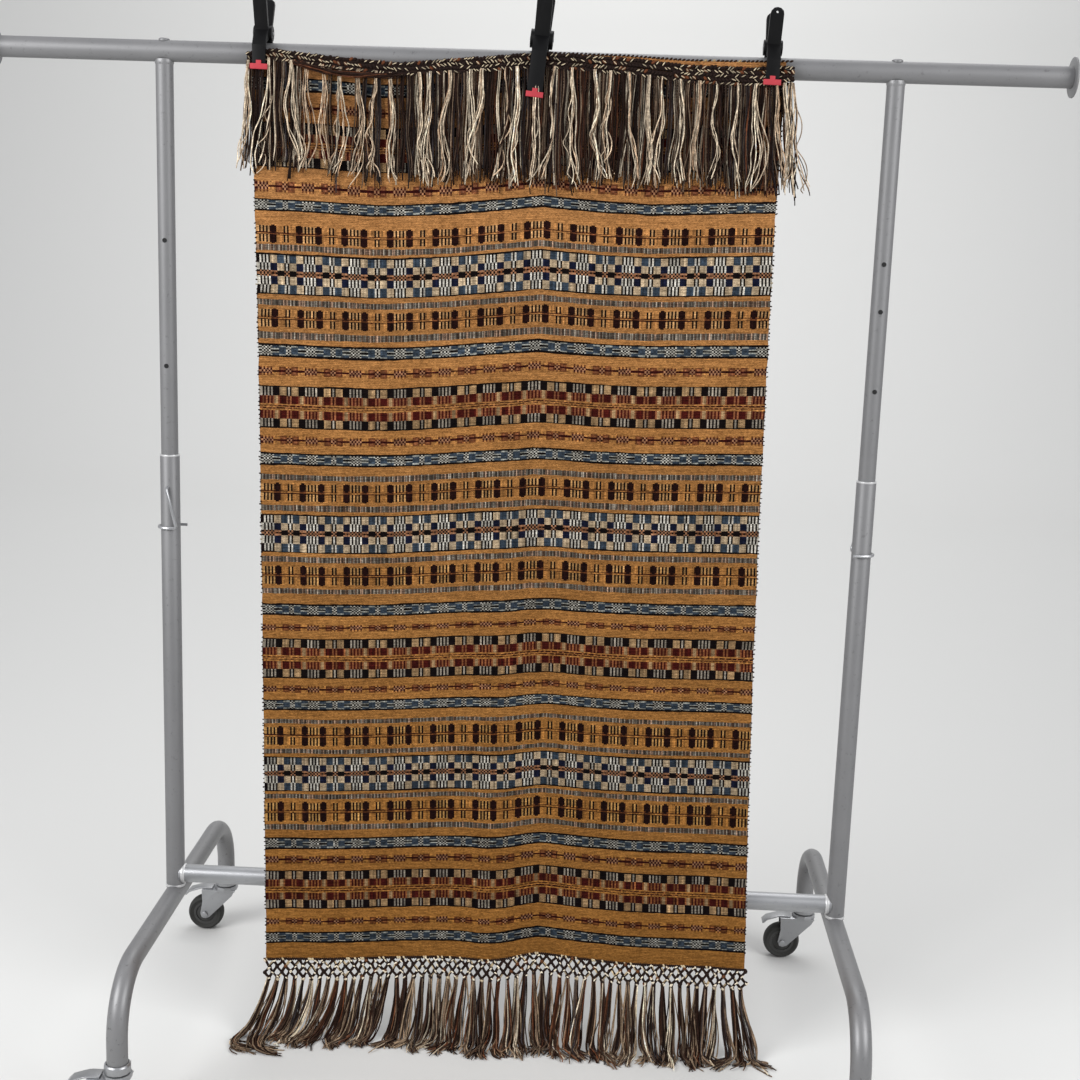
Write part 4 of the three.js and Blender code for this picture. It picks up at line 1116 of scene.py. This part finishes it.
def lathe(name, profile, centre, material):
    """Turns a closed profile of (radius, y) about the Y axis through a centre."""
    segments = 48
    vertices = []
    faces = []
    count = len(profile)
    for s in range(segments):
        angle = 2 * math.pi * s / segments
        n = (s + 1) % segments
        for i, (radius, y) in enumerate(profile):
            vertices.append((radius * math.cos(angle), y, radius * math.sin(angle)))
            j = (i + 1) % count
            faces.append((s * count + i, s * count + j, n * count + j, n * count + i))
    piece = new_object(name, np.array(vertices) + centre, faces, material)
    piece.data.set_sharp_from_angle(angle=math.radians(45))
    return piece


def build_wheels():
    """Each wheel: a tyre with a rounded tread, and a paler hub with a raised ring and boss."""
    number = 1
    half, shoulder = WHEEL["half_width"], WHEEL["shoulder"]
    inner, outer = WHEEL["radius"] - WHEEL["tyre_depth"], WHEEL["radius"] - shoulder
    tyre = [(inner, 2 - half), (outer, -half)]
    for step in range(9):
        angle = math.radians(-70 + 140 * step / 8)
        tyre.append((outer + shoulder * math.cos(angle), (half - 1) * math.sin(angle)))
    tyre += [(outer, half), (inner, half - 2)]
    hub = [(radius, depth - half) for radius, depth in HUB_STEPS]
    hub += [(radius, -y) for radius, y in reversed(hub)]
    for y in (BASE["front"], BASE["back"]):
        for sign in (-1, 1):
            centre = (sign * POST["x"] - WHEEL["trail"], y, WHEEL["height"])
            tread = lathe(f"tyre_{number}", tyre, centre, TYRE)
            middle = lathe(f"hub_{number}", hub, centre, HUB)
            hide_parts(f"caster_{number}_wheel")
            number += 1


def upright(name, x, heights, radii, material):
    """A round post or ring on a line straight up."""
    piece = sweep(name, [(x, 0, z) for z in heights], radii, material)
    return piece


def build_tubes():
    height, half = RAIL["height"], RAIL["half"]
    rail = sweep("rail_tube", [(-half, 0, height), (half, 0, height)], RAIL["radius"], PAINT)
    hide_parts("rail")
    upper, lower = POST["upper"], POST["lower"]
    lower_heights = (POST["foot"], POST["joint"] - 2, POST["joint"])
    for side, sign in (("left", -1), ("right", 1)):
        x = sign * POST["x"]
        low = upright(f"lower_post_{side}", x, lower_heights, (lower, lower, lower - 1), PAINT)
        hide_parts(f"upright_lower_{side}")
        high = upright(f"upper_post_{side}", x, (POST["inside"], POST["top"]), upper, PAINT)
        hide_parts(f"upright_upper_{side}")
        # The rim round the post's top takes the lighter worn paint, lighter as a painted highlight
        upright(f"post_rim_{side}", x, *POST_RIM, WORN_PAINT_WITH_HIGHLIGHT)
        # The joint rim and the weld at the post's foot are pale grey, a painted highlight
        upright(f"joint_rim_{side}", x, *JOINT_RIM, RING_PAINTED_HIGHLIGHT)
        upright(f"post_weld_{side}", x, *POST_WELD, RING_PAINTED_HIGHLIGHT)
        for z in ADJUSTING_HEIGHTS[side]:
            # Each adjusting hole is a thin dark disc on the post: painted shade in place of a hole
            ends = [(x, y, z) for y in ADJUSTING_HOLE["ends"]]
            hole = sweep(f"adjusting_hole_{side}_{z}", ends, ADJUSTING_HOLE["radius"], HOLE_PAINTED_SHADE, 20)
        # The base tubes take the worn paint, whose lighter colour is a painted highlight
        base = sweep(f"base_bow_{side}", base_line(x), BASE["radius"], WORN_PAINT_WITH_HIGHLIGHT, 40)
        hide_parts(f"base_tube_{side}")
    reach, height = CROSSBAR["half"], CROSSBAR["height"]
    bar = sweep("cross_tube", [(-reach, 0, height), (reach, 0, height)], CROSSBAR["radius"], BARE_STEEL)
    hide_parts("crossbar")
    # The welds at the crossbar's ends are pale grey, a painted highlight
    places, radii = CROSSBAR_WELD
    for side, sign in (("left", -1), ("right", 1)):
        ring = [(sign * x, 0, height) for x in places]
        weld = sweep(f"crossbar_weld_{side}", ring, radii, RING_PAINTED_HIGHLIGHT)


def build_fittings():
    for side in ("left", "right"):
        copy_softened(f"rail_disc_{side}", PAINT, SOFT_EDGES["disc"])
        copy_softened(f"rail_screw_{side}", PAINT, SOFT_EDGES["disc"])
        copy_softened(f"lock_wire_{side}", BARE_STEEL, 0)
    for place in ("left", "middle", "right"):
        for part in ("front_arm", "back_arm"):
            copy_softened(f"clamp_{place}_{part}", CLAMP_BLACK, SOFT_EDGES["arm"], 3)
        copy_softened(f"clamp_{place}_pivot", BARE_STEEL, 0)
        for part in ("front_pad", "back_pad"):
            copy_softened(f"clamp_{place}_{part}", PAD_RED, SOFT_EDGES["pad"])
    for number in range(1, 5):
        for part in ("collar", "fork", "lever", "axle"):
            copy_softened(f"caster_{number}_{part}", BARE_STEEL, SOFT_EDGES[part])


# Studio


def place_camera():
    pitch, yaw, roll = (math.radians(CAMERA[key]) for key in ("pitch_down_deg", "yaw_deg", "roll_deg"))
    right = Vector((math.cos(yaw), math.sin(yaw), 0))
    level = Vector((-math.sin(yaw), math.cos(yaw), 0))
    forward = math.cos(pitch) * level - math.sin(pitch) * Vector((0, 0, 1))
    up = right.cross(forward)
    tilted_right = math.cos(roll) * right + math.sin(roll) * up
    tilted_up = -math.sin(roll) * right + math.cos(roll) * up
    axes = Matrix((tilted_right, tilted_up, -forward)).transposed().to_4x4()
    data = bpy.data.cameras.new("photo_camera")
    data.sensor_width = CAMERA["sensor_mm"]
    data.lens = CAMERA["focal_pixels"] / CAMERA["frame_pixels"] * CAMERA["sensor_mm"]
    data.clip_end = 50
    camera = link("photo_camera", data)
    camera.matrix_world = Matrix.Translation((Vector(CAMERA["place"]) + SHIFT) * MM) @ axes
    bpy.context.scene.camera = camera


def build_studio():
    """A plain pale floor that curves up into a backdrop, and soft light from the upper left."""
    bend = STUDIO["bend"]
    profile = [(STUDIO["front"], 0)]
    for step in range(13):
        angle = math.radians(90 * step / 12)
        profile.append((STUDIO["back"] - bend + bend * math.sin(angle), bend * (1 - math.cos(angle))))
    profile.append((STUDIO["back"], STUDIO["height"]))
    vertices = [(x, y, z) for y, z in profile for x in (-STUDIO["half_width"], STUDIO["half_width"])]
    faces = [(2 * i, 2 * i + 1, 2 * i + 3, 2 * i + 2) for i in range(len(profile) - 1)]
    nodes = Nodes("pale_floor")
    nodes.surface({"Base Color": rgba(FLOOR_COLOUR), "Roughness": 0.85})
    mesh = bpy.data.meshes.new("studio_floor")
    mesh.from_pydata(vertices, [], faces)
    mesh.polygons.foreach_set("use_smooth", [True] * len(faces))
    mesh.materials.append(nodes.material)
    link("studio_floor", mesh)
    world = bpy.data.worlds.new("studio")
    world.use_nodes = True
    world.node_tree.nodes["Background"].inputs["Color"].default_value = SKY["colour"]
    world.node_tree.nodes["Background"].inputs["Strength"].default_value = SKY["strength"]
    bpy.context.scene.world = world
    for place, target, size, watts in STUDIO_LIGHTS:
        data = bpy.data.lights.new("soft_light", "AREA")
        data.size = size
        data.energy = watts
        light = link("soft_light", data)
        light.location = place
        light.rotation_euler = (Vector(target) - Vector(place)).to_track_quat("-Z", "Y").to_euler()
    bpy.context.scene.view_settings.view_transform = "Standard"


place_camera()
rug = build_rug()
tufts = build_selvedge_tufts()
top_pieces = build_top_fringe()
bottom_pieces = build_bottom_fringe()
build_tubes()
build_wheels()
build_fittings()
build_studio()
